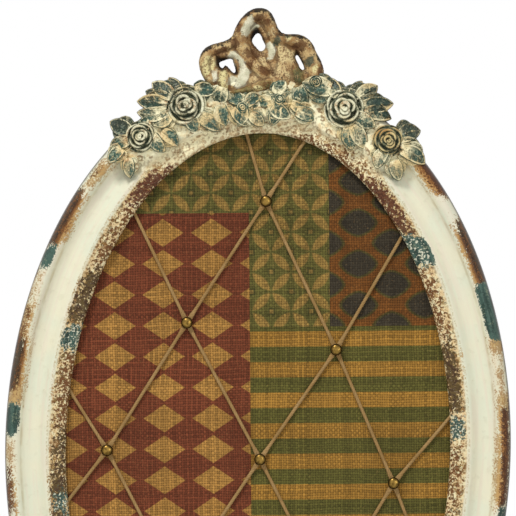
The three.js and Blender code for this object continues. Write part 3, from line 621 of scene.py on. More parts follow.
def moulding_mesh():
    """The moulding's section carried round the oval, with the stippled band's lumps in its surface."""
    section, side_rows = moulding_section()
    turns = even_turns(MOULDING_STEPS)
    rings = [np.column_stack([oval(turns, inset), np.full(MOULDING_STEPS, height)])
             for inset, height in section]
    points = np.stack(rings, 1).reshape(-1, 3)
    inset = np.tile(section[:, 0], MOULDING_STEPS)
    on_face = np.tile(np.arange(len(section)) >= side_rows, MOULDING_STEPS)
    on_face &= points[:, 2] > LEDGE + 1
    under_crest = smoothstep(CREST_STARTS, CREST_FULL, points[:, 1])
    band_start = BAND_START - BAND_BROADER * under_crest
    lumps = smoothstep(band_start - 0.8, band_start + 1.6, inset) * on_face
    lowered = under_crest * smoothstep(27, 33, inset) * (1 - smoothstep(45, 50, inset)) * on_face
    points[:, 2] = lerp(points[:, 2], LEDGE + LOWERED_RISE - 0.03 * inset, lowered * 0.85)
    cover = crest_ground(points[:, 0], points[:, 1]) * smoothstep(3, 8, inset) * on_face
    cover *= 1 - smoothstep(37, 43, inset)
    covered = cover > 0
    ground = CREST_GROUND_HEIGHT + GROUND_WAVE_RISE * noise_at(points[covered], GROUND_WAVE_SIZE, 5)
    points[covered, 2] = lerp(points[covered, 2], ground, cover[covered])
    lumps *= 1 - cover
    lumpy = lumps > 0
    points[lumpy, 2] += LUMP_RISE * lumps[lumpy] * noise_at(points[lumpy], LUMP_SIZE, 3)
    wavy = on_face & ~lumpy
    points[wavy, 2] += WAVE_RISE * noise_at(points[wavy], WAVE_SIZE, 8)
    mesh = make_mesh("moulding", points, grid_faces(MOULDING_STEPS, len(section), True, True))
    around = np.repeat(lengths_along(oval(turns)), len(section))
    painted_height = 0.35 * LEDGE
    fields = {"inset": inset, "around": around, "face": on_face, "lumps": lumps, "ground": cover}
    for pigment, field in patch_fields(points[:, 0], points[:, 1], inset).items():
        fields[pigment] = field * (points[:, 2] > painted_height)
    for name, values in fields.items():
        set_value(mesh, name, values)
    return mesh


CREAM = (0.885, 0.868, 0.765)
CREAM_GREEN = (0.862, 0.868, 0.775)
CREAM_PINK = (0.878, 0.84, 0.755)
PEACH = (0.88, 0.76, 0.55)
RUST = (0.3, 0.175, 0.09)
RUST_LIGHT = (0.55, 0.37, 0.19)
UMBER = (0.19, 0.145, 0.1)
TEAL = (0.28, 0.375, 0.335)
TEAL_DARK = (0.17, 0.245, 0.215)
GOLD = (0.72, 0.59, 0.33)
PIT = (0.43, 0.28, 0.145)
PIT_OLIVE = (0.35, 0.28, 0.15)
PIT_DARK = (0.23, 0.15, 0.085)
# Insets of the fine step in the face, and of the line where the stippled band begins
STEP_INSET = 14.4
BORDER_INSET = 36.2


def moulding_grain(look):
    """The stored values and the noises that the moulding's colours share."""
    inset, around = look.stored("inset"), look.stored("around")
    grain = SimpleNamespace(inset=inset, lumps=look.stored("lumps"), ground=look.stored("ground"))
    grain.streaks = look.noise(4.5, 3, 0.6, look.vector(around * 0.16, inset))
    grain.long_streaks = look.noise(3.2, 2, 0.5, look.vector(around * 0.05, inset, 7.0))
    grain.wide, grain.middling = look.noise(38, 3), look.noise(7, 3, 0.6)
    grain.fine = look.noise(1.5, 3, 0.65)
    grain.breaks = (grain.fine - 0.5) * 2.6 + (grain.middling - 0.5) + (grain.streaks - 0.5) * 1.1
    # The stippled band's lumps, the curls cut between them, and how near they are to the crest
    grain.lump = look.noise(2.9, 2, 0.62)
    ring = 1 - abs(look.cells(4.2) - 0.4).ramp(0.05, 0.24)
    grain.curl = ring * look.noise(3, 2, 0.55).ramp(0.42, 0.54)
    grain.top = look.rising(215, 255)
    return grain


def cream_colour(look, grain):
    """Cream paint in slightly different tones, with yellow stains and specks."""
    base = look.mix(grain.wide.ramp(0.38, 0.62), CREAM, CREAM_GREEN)
    base = look.mix(grain.long_streaks.ramp(0.45, 0.66) * 0.7, base, CREAM_PINK)
    base = look.mix(grain.middling.ramp(0.55, 0.72) * 0.35, base, (0.8, 0.785, 0.68))
    step = (1 - abs(grain.inset - STEP_INSET).ramp(0.3, 1.5)) * look.noise(16, 2).ramp(0.35, 0.62)
    base = look.mix(step * 0.35, base, (0.68, 0.58, 0.38))
    specks = (grain.fine - 0.5) * 1.3 + (grain.wide - 0.5) * 0.9 + (grain.middling - 0.5) * 0.6
    return look.mix(specks.ramp(0.34, 0.5) * 0.5, base, (0.68, 0.56, 0.34))


def band_colour(look, grain, base):
    """The stippled band: cream lumps with brown curls in the pits, paler under the crest, partly as painted
    light against the shade there.
    """
    blots = (1 - grain.lump + (grain.middling - 0.5) * 0.8).ramp(0.54, 0.68)
    pitted = grain.curl.most(blots * 0.9)
    edge = grain.inset + (grain.middling - 0.5) * 8
    near_edge = edge.ramp(37, 42, 0.4, 1) * (1 - grain.top * 0.3)
    lumpy_cream = look.mix(look.noise(3.4, 2).ramp(0.42, 0.62), PEACH, (0.91, 0.86, 0.68))
    base = look.mix(grain.lumps * 0.85, base, lumpy_cream)
    # Near white towards the crest: painted light that lifts the shade on the band there
    base = look.mix(grain.lumps * grain.top * 0.75, base, (1, 0.97, 0.8))
    pit = look.mix(grain.wide.ramp(0.4, 0.6), PIT, PIT_OLIVE)
    pit = look.mix(grain.top * 0.8, pit, (0.66, 0.47, 0.28))
    base = look.mix(grain.lumps * pitted * near_edge, base, pit)
    # A broken yellow line where the band begins
    border = 1 - abs(grain.inset - BORDER_INSET).ramp(0.2, 1.3)
    border = border * grain.fine.ramp(0.42, 0.6) * (1 - grain.top)
    return look.mix(border * 0.55, base, (0.66, 0.56, 0.33))


def crest_colour(look, grain, base):
    """The crest's cast ground is yellower, and lightened further as painted light against the shade on it,
    with tan and grey-green in its hollows.
    """
    high = look.rising(222, 250) * grain.inset.ramp(8, 18)
    # Near white over the ground and the face under the crest: yellower cream, and painted light against the
    # shade there
    cast = grain.ground.most(high * 0.8) - grain.lumps * 0.7
    base = look.mix(cast * 0.9, base, (1, 0.97, 0.81))
    tan = grain.ground.most(high * 0.6) * grain.middling.ramp(0.46, 0.66)
    base = look.mix(tan * 0.55, base, (0.84, 0.68, 0.44))
    curls = (1 - abs(look.cells(5) - 0.42).ramp(0.05, 0.22)) * look.noise(6, 2).ramp(0.46, 0.6)
    base = look.mix(grain.ground.most(high * 0.7) * curls * 0.85, base, (0.5, 0.36, 0.21))
    return look.mix(grain.ground * look.noise(4.2, 2).ramp(0.56, 0.7) * 0.6, base, (0.45, 0.4, 0.27))


def gold_over(look, grain, fields, mask, base):
    """A thin gold fringe round all the old colours, and gold washes and patches."""
    strongest = fields["rust"].most(fields["umber"]).most(fields["gold"])
    fringe = (strongest + grain.breaks).ramp(0.26, 0.42) * strongest.ramp(0.01, 0.1)
    gold = look.mix(grain.streaks.ramp(0.4, 0.6), GOLD, (0.62, 0.44, 0.24))
    colour = look.mix(fringe * 0.6, base, gold)
    wash = fields["gold"] * (grain.streaks * 0.7 + grain.long_streaks * 0.6).ramp(0.4, 0.8)
    colour = look.mix(wash * 0.75, colour, (0.82, 0.69, 0.45))
    return look.mix(mask * 0.6, colour, look.mix(grain.fine.ramp(0.4, 0.6), GOLD, RUST_LIGHT))


def rust_over(look, grain, mask, base):
    inner = (grain.inset - 7).least(6) * 0.05
    rust = look.mix((grain.streaks + (grain.fine - 0.5) * 1.3 + inner).ramp(0.36, 0.66), RUST, RUST_LIGHT)
    flecks = (grain.fine + (grain.middling - 0.5) * 0.4 + inner).ramp(0.58, 0.68)
    rust = look.mix(flecks * 0.75, rust, (0.8, 0.65, 0.42))
    return look.mix(mask, base, look.mix(grain.lumps, rust, PIT))


def umber_over(look, grain, mask, base):
    worn = (grain.streaks + (grain.fine - 0.5) * 1.2).ramp(0.46, 0.7)
    umber = look.mix(worn, UMBER, look.mix(0.5, RUST, RUST_LIGHT))
    umber = look.mix(grain.lumps, umber, look.mix(look.noise(3, 2).ramp(0.4, 0.6), PIT_DARK, PIT_OLIVE))
    redder = look.mix(grain.fine.ramp(0.4, 0.6), (0.27, 0.125, 0.08), (0.4, 0.23, 0.14))
    umber = look.mix(look.rising(160, 205) * grain.lumps, umber, redder)
    return look.mix(mask * 0.95, base, umber)


def teal_over(look, grain, mask, base):
    teal = look.mix((grain.streaks + (grain.fine - 0.5) * 0.7).ramp(0.36, 0.6), TEAL_DARK, TEAL)
    paler = (grain.middling + (grain.fine - 0.5) * 0.8).ramp(0.6, 0.72)
    teal = look.mix(paler * 0.7, teal, (0.5, 0.53, 0.43))
    teal = look.mix(grain.lumps * look.noise(1.9, 2).ramp(0.54, 0.62) * 0.9, teal, (0.87, 0.86, 0.76))
    return look.mix(mask, base, teal)


def worn_colour(look, grain, base):
    """Old colour in patches that break up into specks. Gives the colour, and where it is painted."""
    lumps = grain.lumps
    fields = {pigment: look.stored(pigment) for pigment in PIGMENTS}
    in_pits = ((0.54 - grain.lump) * 2.6 + (grain.fine - 0.5) * 1.4 + (grain.inset - 45) * 0.04) * lumps
    masks = {}
    for pigment in ("rust", "umber", "gold"):
        field = fields[pigment]
        broken = field + in_pits + grain.breaks * (1.05 - field * 0.45) * (1 - lumps * 0.7)
        masks[pigment] = broken.ramp(0.4, 0.62) * field.ramp(0.02, 0.12)
    teal = (fields["teal"] + grain.breaks * 0.5 * (1 - lumps) + in_pits * 0.6).ramp(0.46, 0.62)
    teal = teal * fields["teal"].ramp(0.03, 0.14)
    colour = gold_over(look, grain, fields, masks["gold"], base)
    colour = rust_over(look, grain, masks["rust"], colour)
    colour = umber_over(look, grain, masks["umber"], colour)
    colour = teal_over(look, grain, teal, colour)
    return colour, masks["rust"].most(masks["umber"]).most(teal)


def moulding_look():
    look = Look("moulding_paint")
    grain = moulding_grain(look)
    base = band_colour(look, grain, cream_colour(look, grain))
    colour, painted = worn_colour(look, grain, crest_colour(look, grain, base))
    # The dark line along the outer edge, and a duller back
    rim = 1 - (grain.inset + (grain.middling - 0.5) * 2).ramp(0.5, 2.6)
    colour = look.mix(rim * look.noise(30, 2).ramp(0.25, 0.5, 0.5, 1) * 0.85, colour, UMBER)
    behind = (look.axes()[1] - (BACK_Y - 0.3 * LEDGE)).ramp(-2, 2)
    colour = look.mix(behind * 0.8, colour, look.mix(grain.middling, (0.8, 0.78, 0.7), (0.5, 0.45, 0.36)))
    heights = grain.lumps * (grain.lump * 0.9 - grain.curl * 0.5) + grain.fine * 0.15 + grain.middling * 0.35
    normal = look.bump(heights - painted * 0.2 + grain.streaks * painted * 0.3, 0.9, 0.85)
    return look.finish(colour, 0.5 - painted * 0.15, normal, specular_ior_level=0.2)


add_piece(moulding_mesh(), moulding_look(), ["oval_moulding"])


# The panel


def crown_at(x, up):
    """How far the padded front stands over its own edge."""
    half, tall = HALF_WIDTH - CLOTH_INSET, HALF_HEIGHT - CLOTH_INSET
    return CLOTH_CROWN * np.maximum(0, 1 - (np.asarray(x) / half) ** 2 - (np.asarray(up) / tall) ** 2)


def cloth_front_at(x, up):
    return CLOTH_EDGE_FRONT + crown_at(x, up)


TACK_SHARES = [
    (0.015, 0.784), (-0.383, 0.392), (0.396, 0.316), (-0.785, -0.019), (0.012, -0.038), (0.709, -0.105),
    (-0.409, -0.44), (0.378, -0.459), (-0.012, -0.828),
]
TACKS = np.array(TACK_SHARES) * (SIGHT_HALF_WIDTH, SIGHT_HALF_HEIGHT)
DIMPLE_DEPTH = 0.7
DIMPLE_RADIUS = 13
# The cloth's mesh: points across and along, steps round its edge, and rows on its flange
CLOTH_GRID = (150, 240)
CLOTH_ROUND_STEPS = 5
FLANGE_SHARES = (0.3, 0.65, 1)


def edge_bend(inset, radius, steps):
    """Rows of inset and drop round the edge of a layer whose front has the given inset."""
    return [(inset + radius * (1 - math.sin(turn)), radius * (1 - math.cos(turn)))
            for turn in np.linspace(0, math.pi / 2, steps)]


def disc_parts(inset, across, along, heights, edge_rows):
    """A filled oval in even rows and columns, and rows round its edge, each an inset and a height, as one
    open skin. The last row's corners come with it."""
    u, v = np.meshgrid(np.linspace(-1, 1, across), np.linspace(-1, 1, along))
    x = u * np.sqrt(1 - v * v / 2)
    y = v * np.sqrt(1 - u * u / 2)
    plan = (oval(np.arctan2(y, x), inset) * np.hypot(x, y)[..., None]).reshape(-1, 2)
    points = [np.column_stack([plan, heights(plan[:, 0], plan[:, 1])])]
    faces = grid_faces(along, across)
    corner = np.arange(across * along).reshape(along, across)
    before = np.concatenate([corner[0, :-1], corner[:-1, -1], corner[-1, :0:-1], corner[:0:-1, 0]])
    turns = np.arctan2(plan[before, 1] / (HALF_HEIGHT - inset), plan[before, 0] / (HALF_WIDTH - inset))
    start = len(plan)
    for row_inset, row_height in edge_rows:
        points.append(np.column_stack([oval(turns, row_inset), np.full(len(turns), row_height)]))
        here = start + np.arange(len(turns))
        faces += np.stack([before, here, np.roll(here, -1), np.roll(before, -1)], -1).tolist()
        before, start = here, start + len(turns)
    return np.concatenate(points), faces, before


def cloth_heights(x, up):
    heights = cloth_front_at(x, up)
    for tack in TACKS:
        near = np.hypot(x - tack[0], up - tack[1]) / DIMPLE_RADIUS
        heights = heights - DIMPLE_DEPTH * np.exp(-near * near * 2)
    return heights


def cloth_mesh():
    bend = edge_bend(CLOTH_INSET, CLOTH_ROUND, CLOTH_ROUND_STEPS)
    rows = [(inset, CLOTH_EDGE_FRONT - drop) for inset, drop in bend[1:]]
    rows += [(CLOTH_INSET, (CLOTH_EDGE_FRONT + CLOTH_BACK) / 2)]
    rows += [(inset, CLOTH_BACK + drop) for inset, drop in reversed(bend)]
    rows += [(CLOTH_INSET + CLOTH_FLANGE * share, CLOTH_BACK) for share in FLANGE_SHARES]
    points, faces, _ = disc_parts(CLOTH_INSET + CLOTH_ROUND, *CLOTH_GRID, cloth_heights, rows)
    mesh = plain_mesh("cloth", points, faces)
    if mesh.polygons[0].normal.y > 0:
        mesh.flip_normals()
    return mesh


MAROON = (0.422, 0.219, 0.137)
TAN = (0.609, 0.446, 0.22)
GREEN = (0.33, 0.314, 0.142)
OCHRE = (0.575, 0.42, 0.174)
PETAL = (0.548, 0.436, 0.222)
LEAF_GREEN = (0.355, 0.336, 0.162)
OGEE_DARK = (0.218, 0.195, 0.152)
OGEE_GREEN = (0.281, 0.26, 0.131)
OGEE_RUST = (0.427, 0.262, 0.108)
STAR_GREEN = (0.23, 0.235, 0.122)
THREAD = 2.1
PRINT_TURN = 1.65 * DEGREES
# The prints: the middle of one shape across and up, then the pitch, and half of a shape's size
DIAMOND_MIDDLE, DIAMOND_PITCH, DIAMOND_HALF = (-79.8, 78), (41.7, 26.4), (17.75, 11.9)
OGEE_MIDDLE, OGEE_PITCH, OGEE_HALF = (87.1, 191), (56.4, 35.2), (15, 11)
CIRCLES_MIDDLE, CIRCLES_PITCH, CIRCLE_SHARE = (-55.4, 217.5), 24, 0.662
STRIPE_EDGE, STRIPE_PITCH = 98.6, 26.1
# Seams between the prints: across, and then up
MIDDLE_SEAM, RIGHT_SEAM = -6.1, 62.3
STRIPES_TOP, STRIPES_FOOT = 102.7, -165
HARLEQUIN_TOP, HARLEQUIN_FOOT = 200.2, -140


def cells_about(value, middle, pitch):
    """Distance from the nearest of evenly spaced places."""
    return abs(((value - middle) / pitch + 0.5).fract() - 0.5) * pitch


def weave_of(look, u, v):
    """How high the threads stand, counted across and up, and their tone, which differs for each."""
    column, row = u.floor(), v.floor()
    warp_arc = (1 - (u.fract() * 2 - 1) ** 2.0).root()
    weft_arc = (1 - (v.fract() * 2 - 1) ** 2.0).root()
    warp = warp_arc * (0.62 + ((v - 0.5 + column) * math.pi + math.pi / 2).sine() * 0.38)
    weft = weft_arc * (0.62 - ((u - 0.5 + row) * math.pi + math.pi / 2).sine() * 0.38)
    row_tone = look.random(row + 917.5)
    tone = row_tone + (warp > weft) * (look.random(column + 0.5) - row_tone)
    return warp.most(weft), tone


def harlequin_print(look, a, b, inside):
    parts = [cells_about(value, middle, pitch) / half
             for value, middle, pitch, half in zip((a, b), DIAMOND_MIDDLE, DIAMOND_PITCH, DIAMOND_HALF)]
    return look.mix(inside((parts[0] + parts[1] - 1) * 9.9), MAROON, TAN)


def circles_print(look, a, b, inside):
    """Circles that cross each other in petals, with a star in each gap."""
    right, up = a - CIRCLES_MIDDLE[0], b - CIRCLES_MIDDLE[1]
    scale = math.sqrt(0.5) / CIRCLES_PITCH
    p, q = (abs((diagonal * scale + 0.5).fract() - 0.5) for diagonal in (right + up, up - right))
    lenses = [(((1 - one) ** 2.0 + other ** 2.0).root() - CIRCLE_SHARE) * CIRCLES_PITCH
              for one, other in ((p, q), (q, p))]
    petals = inside(lenses[0], 0.8).most(inside(lenses[1], 0.8))
    star = inside((p + q - 0.19) * CIRCLES_PITCH, 0.8)
    cross = inside((p + q - 0.1) * CIRCLES_PITCH, 0.8) * 0.7
    circles = look.mix(star * 0.7, LEAF_GREEN, STAR_GREEN)
    return look.mix(petals.most(cross), circles, PETAL)


def ogee_print(look, a, b, inside):
    """Two sets of round blobs, one half a pitch from the other, each with a dark middle."""
    blobs = []
    for shift in (0, 0.5):
        parts = [(cells_about(value, middle + pitch * shift, pitch) / half) ** 1.5
                 for value, middle, pitch, half in zip((a, b), OGEE_MIDDLE, OGEE_PITCH, OGEE_HALF)]
        blobs.append((parts[0] + parts[1] - 1) * 8)
    blob = blobs[0].least(blobs[1])
    ogee = look.mix(inside(blob - 1.6, 1.2), OGEE_RUST, OGEE_GREEN)
    return look.mix(inside(blob + 0.4, 0.9), ogee, OGEE_DARK)


def print_at(look, a, b, ragged):
    """The patchwork of prints, with edges that the weave leaves ragged."""
    def inside(distance, soft=0.35):
        return 1 - (distance + ragged).ramp(-soft, soft)

    ogee, circles = ogee_print(look, a, b, inside), circles_print(look, a, b, inside)
    band = cells_about(b, STRIPE_EDGE - STRIPE_PITCH / 4, STRIPE_PITCH)
    stripes = look.mix(inside(band - STRIPE_PITCH / 4), GREEN, OCHRE)
    right_part = a > MIDDLE_SEAM
    colour = look.mix(a > RIGHT_SEAM, circles, ogee)
    for top, part, pattern in (
        (STRIPES_TOP, right_part, stripes),
        (HARLEQUIN_TOP, 1 - right_part, harlequin_print(look, a, b, inside)),
        (HARLEQUIN_FOOT, 1 - right_part, ogee), (STRIPES_FOOT, right_part, circles),
    ):
        colour = look.mix((b < top) * part, colour, pattern)
    return colour


def printed_burlap():
    look = Look("printed_burlap")
    x, _, z = look.axes()
    up = z - CENTRE_Z
    a = x * math.cos(PRINT_TURN) + up * math.sin(PRINT_TURN)
    b = up * math.cos(PRINT_TURN) - x * math.sin(PRINT_TURN)
    # Threads wander a little, and so does the print that they carry
    wander = look.noise(7, 2) - 0.5
    drift = (look.noise(60, 1) - 0.5) * 5
    weave, tone = weave_of(look, (a + wander + drift) / THREAD, (b - wander + drift) / THREAD)
    ragged = (look.noise(1.5, 2, 0.7) - 0.5) * 1.1 + (weave - 0.7) * 0.5
    # Painted light and shade: the cloth is lighter and darker in broad patches
    painted_patchy_light = look.noise(40, 2).ramp(0.3, 0.7, 0.92, 1.07)
    slub = look.noise(2.6, 2, 0.6).ramp(0.3, 0.7, 0.86, 1.14)
    # Painted shade of the frame: the cloth darkens towards the top
    painted_top_shade = up.ramp(60, 262, 1.05, 0.9)
    colour = look.shade(print_at(look, a, b, ragged), (tone * 0.62 + 0.75) * painted_patchy_light * slub * painted_top_shade)
    bare = look.noise(1.3, 2, 0.6).ramp(0.6, 0.75) * 0.35
    colour = look.mix(bare, colour, (0.6, 0.47, 0.29))
    # Painted shade in the gaps between the threads, where they sink
    gap_shade = 1 - weave.ramp(0.3, 0.8)
    colour = look.mix(gap_shade * 0.66, colour, (0.13, 0.085, 0.045))
    normal = look.bump(weave + look.noise(0.9, 2) * 0.25, 0.5, 0.9)
    return look.finish(colour, 0.92, normal, specular_ior_level=0.2)


cloth = add_piece(cloth_mesh(), printed_burlap(), ["burlap_cover"])
# The cloth's thickness, behind its front
thickness = cloth.modifiers.new("thickness", "SOLIDIFY")
thickness.thickness = CLOTH_THICKNESS * MM
thickness.offset = -1


LAYER_GRID = (90, 140)
LAYER_ROUND_STEPS = 4
BACK_BEVEL = 0.3


def plain_disc(name, inset, back, front_heights, edge_round):
    """A closed oval layer with a rounded front edge and a flat back."""
    edge = float(front_heights(np.array([HALF_WIDTH - inset]), np.array([0.0]))[0])
    bend = edge_bend(inset, edge_round, LAYER_ROUND_STEPS)
    rows = [(row_inset, edge - drop) for row_inset, drop in bend[1:]]
    rows += [(inset, (edge + back) / 2), (inset, back + BACK_BEVEL), (inset + BACK_BEVEL, back)]
    points, faces, last = disc_parts(inset + edge_round, *LAYER_GRID, front_heights, rows)
    faces.append(last[::-1].tolist())
    return make_mesh(name, points, faces)


PADDING_BACK = board_box("wadding_layer")[0][2]
PADDING_EDGE = board_box("wadding_layer")[1][2] - CLOTH_CROWN
LAYER_INSET = HALF_WIDTH - board_box("wadding_layer")[1][0]
CORE_FRONT = board_box("fibreboard_core")[1][2]
BACKING_FRONT = board_box("backing_panel")[1][2]
BACKING_INSET = HALF_WIDTH - board_box("backing_panel")[1][0]


def plain_look(name, colours, size, roughness, grain, distance, **settings):
    """A material of two colours in patches of one size, with a fine grain."""
    look = Look(name)
    blend = look.noise(size, 4, 0.6)
    fine = look.noise(grain, 3, 0.6)
    colour = look.mix((blend * 0.6 + fine * 0.4).ramp(0.4, 0.62), *colours)
    return look.finish(colour, roughness, look.bump(fine, distance, 0.7), **settings)


wadding_look = plain_look("wadding", ((0.84, 0.83, 0.8), (0.93, 0.92, 0.9)), 6, 0.95, 0.8, 0.4)
wadding = add_piece(
    plain_disc("wadding", LAYER_INSET, PADDING_BACK,
               lambda x, up: PADDING_EDGE + crown_at(x, up), 0.8),
    wadding_look, ["wadding_layer"])
core_look = plain_look("fibreboard", ((0.6, 0.5, 0.36), (0.69, 0.59, 0.44)), 9, 0.9, 0.7, 0.15)
add_piece(
    plain_disc("fibreboard", LAYER_INSET, CORE_BACK, lambda x, up: np.full(len(x), CORE_FRONT), 0.4),
    core_look, ["fibreboard_core"])


def hardboard_look():
    look = Look("hardboard")
    x, y, z = look.axes()
    strands = look.noise(1.2, 3, 0.6, look.vector(x * 0.35, y, z))
    colour = look.mix(strands.ramp(0.3, 0.7), (0.36, 0.235, 0.14), (0.47, 0.32, 0.2))
    colour = look.mix(look.noise(50, 3).ramp(0.4, 0.7) * 0.4, colour, (0.33, 0.21, 0.125))
    # The pressed mesh of the board's back
    mesh = (((x / 1.3).fract() - 0.5) ** 2.0).most(((z / 1.3).fract() - 0.5) ** 2.0)
    normal = look.bump(strands * 0.4 - mesh * 2, 0.18, 0.6)
    return look.finish(colour, 0.62, normal)


add_piece(
    plain_disc("hardboard", BACKING_INSET, 0, lambda x, up: np.full(len(x), BACKING_FRONT), 0.3),
    hardboard_look(), ["backing_panel"])


# Twine and tacks

STRANDS = {
    "twine_fall_right": (96.4, (0, 2, 5), 336.5), "twine_fall_middle": (134.5, (1, 4, 7), 309),
    "twine_fall_left": (170.2, (3, 6, 8), 277), "twine_rise_left": (75.8, (0, 1, 3), 190.5),
    "twine_rise_middle": (41, (2, 4, 6), 224), "twine_rise_right": (6.4, (5, 7, 8), 258.4),
}
RETURN_LENGTH = 20
RETURN_HEIGHT = 5.3
PRESSED_REACH = 4.6
EASE_REACH = 15
TWINE_STEP = 1.0
TWINE_LAY = 9.5
TWINE_SIDES = 18
PLIES = 3


def edge_wrap(turn):
    """Rows of place, way and half sizes round the panel's edge, from the strand's end behind it."""
    turn = turn * DEGREES
    outwards = oval(turn) - oval(turn, CLOTH_INSET)
    outwards /= np.linalg.norm(outwards)
    corner = CLOTH_ROUND + SEAT_GAP + TWINE / 2

    def bend(height, first):
        rows = []
        for more in np.linspace(0, 90, 7):
            angle = (first + more) * DEGREES
            way = np.array([*(outwards * math.cos(angle)), math.sin(angle)])
            middle = np.array([*oval(turn, CLOTH_INSET + CLOTH_ROUND), height])
            rows.append([*(middle + way * corner), *way, TWINE / 2, TWINE / 2])
        return rows

    first = [*oval(turn, CLOTH_INSET + RETURN_LENGTH), RETURN_HEIGHT, 0, 0, -1, TWINE / 2, TWINE / 2]
    return [first, *bend(CLOTH_BACK + CLOTH_ROUND, -90), *bend(CLOTH_EDGE_FRONT - CLOTH_ROUND, 0)]


def strand_rows(start_turn, tacks, end_turn, over):
    start, end = edge_wrap(start_turn), edge_wrap(end_turn)[::-1]
    stops = [np.array(start[-1][:2]), *(TACKS[tack] for tack in tacks), np.array(end[0][:2])]
    rows = list(start)
    for at, (leave, reach) in enumerate(zip(stops[:-1], stops[1:])):
        length = np.linalg.norm(reach - leave)
        for distance in np.arange(EASE_REACH / 4, length - EASE_REACH / 8, 2.5):
            x, up = leave + (reach - leave) * distance / length
            crossing = min(distance if at > 0 else length, length - distance if at < len(tacks) else length)
            pressed = 1 - smoothstep(PRESSED_REACH, EASE_REACH, crossing)
            half_width = lerp(TWINE, TWINE_PRESSED_WIDTH, pressed) / 2
            half_height = lerp(TWINE, TWINE_PRESSED_HEIGHT, pressed) / 2
            lift = pressed * (TWINE_PRESSED_HEIGHT + SEAT_GAP) * over
            rows.append([x, up, cloth_front_at(x, up) + SEAT_GAP / 2 + half_height + lift, 0, 0, 1,
                         half_width, half_height])
    return np.array(rows + end)


TWINE_ANGLES = 2 * math.pi * np.arange(TWINE_SIDES) / TWINE_SIDES
PLY_GROOVE = 0.17


def ply_at(turn):
    """How near each side of a strand is to the top of a ply, with the plies turned about its middle."""
    return np.abs(np.cos(PLIES / 2 * (TWINE_ANGLES - turn)))


def plied_section(turn):
    """The outline of three plies laid together."""
    return round_section(TWINE_SIDES) * (1 - PLY_GROOVE + PLY_GROOVE * ply_at(turn))[:, None]


def twine_mesh(name, start_turn, tacks, end_turn):
    rows = smooth_line(strand_rows(start_turn, tacks, end_turn, "rise" in name), TWINE_STEP)
    knots = [(row[:3], row[3:6] / np.linalg.norm(row[3:6]), row[6], row[7]) for row in rows]
    turns = 2 * math.pi * np.arange(len(knots)) * TWINE_STEP / TWINE_LAY
    points, faces = tube(knots, lambda at: plied_section(turns[at]))
    mesh = make_mesh(name, points, faces)
    set_value(mesh, "ply", np.concatenate([ply_at(turn) for turn in turns]))
    set_value(mesh, "along", np.repeat(np.arange(len(knots)) * TWINE_STEP, TWINE_SIDES))
    return mesh


def jute_look():
    look = Look("jute_twine")
    ply, along = look.stored("ply"), look.stored("along")
    x, _, z = look.axes()
    fibre = look.noise(0.5, 3, 0.7, look.vector(along * 0.3, ply * 1.2, x * 0.35 + z * 0.35))
    colour = look.mix(look.noise(14, 2).ramp(0.3, 0.7), (0.6, 0.475, 0.29), (0.67, 0.545, 0.36))
    colour = look.mix(fibre.ramp(0.35, 0.7) * 0.5, colour, (0.49, 0.37, 0.205))
    # Painted shade in the grooves between the plies
    colour = look.mix((1 - ply.ramp(0.05, 0.5)) * 0.7, colour, (0.4, 0.29, 0.16))
    return look.finish(colour, 0.9, look.bump(fibre, 0.25, 0.8), specular_ior_level=0.2)


jute = jute_look()
for name, ends in STRANDS.items():
    add_piece(twine_mesh(name, *ends), jute, [name])

TACK_HEAD = 5
TACK_DOME = 3.2
TACK_SHANK = 0.6
TACK_SIDES = 40


def brass_look():
    look = Look("old_brass")
    grime, rim = look.noise(2.2, 3, 0.6), look.stored("rim")
    colour = look.mix(grime.ramp(0.42, 0.66), (0.6, 0.48, 0.24), (0.4, 0.31, 0.14))
    colour = look.mix(rim.ramp(0.4, 0.95) * 0.92, colour, (0.17, 0.12, 0.05))
    return look.finish(colour, 0.22 + grime * 0.16, look.bump(look.noise(1.4, 2), 0.05, 0.4), metallic=1.0)


def tack_mesh(name, place):
    seat = cloth_front_at(*place) + 2 * TWINE_PRESSED_HEIGHT + 3 * SEAT_GAP
    point = board_box(name)[0][2]
    dome = [(TACK_HEAD * math.sin(angle), 0.5 + (TACK_DOME - 0.5) * math.cos(angle))
            for angle in np.linspace(0.04, math.pi / 2, 12)]
    profile = [(out, seat + height) for out, height in dome]
    profile += [(TACK_HEAD, seat + 0.15), (TACK_HEAD - 0.15, seat), (TACK_HEAD - 0.6, seat + 0.1),
                (TACK_SHANK + 0.2, seat + 0.5), (TACK_SHANK, seat), (TACK_SHANK, point + 3), (0.03, point)]
    points, faces = turned(profile[::-1], TACK_SIDES, place)
    mesh = make_mesh(name, points, faces)
    set_value(mesh, "rim", np.hypot(*(points[:, :2] - place).T) / TACK_HEAD)
    return mesh


brass = brass_look()
for number, place in enumerate(TACKS, 1):
    name = f"brass_tack_{number}"
    add_piece(tack_mesh(name, place), brass, [name])


# The crest

# Roses: shares of the oval's half sizes across and up, and the radius
ROSES = {
    "rose_large_left": (-0.314, 0.906, 18), "rose_large_right": (0.314, 0.907, 18),
    "rose_small_left": (-0.488, 0.82, 13.6), "rose_small_right": (0.488, 0.823, 13.6),
}
GOLDEN_ROSES = ["rose_small_right"]
# Rings of petals from the outside: share of the radius, share of the height, count
PETAL_RINGS = [
    (1.02, 0.22, 4), (0.86, 0.42, 3), (0.68, 0.62, 3), (0.48, 0.82, 3), (0.28, 0.96, 2), (0.13, 1.0, 1),
]
ROSE_FOOT = 24.6
ROSE_ROWS = 100
ROSE_SIDES = 200


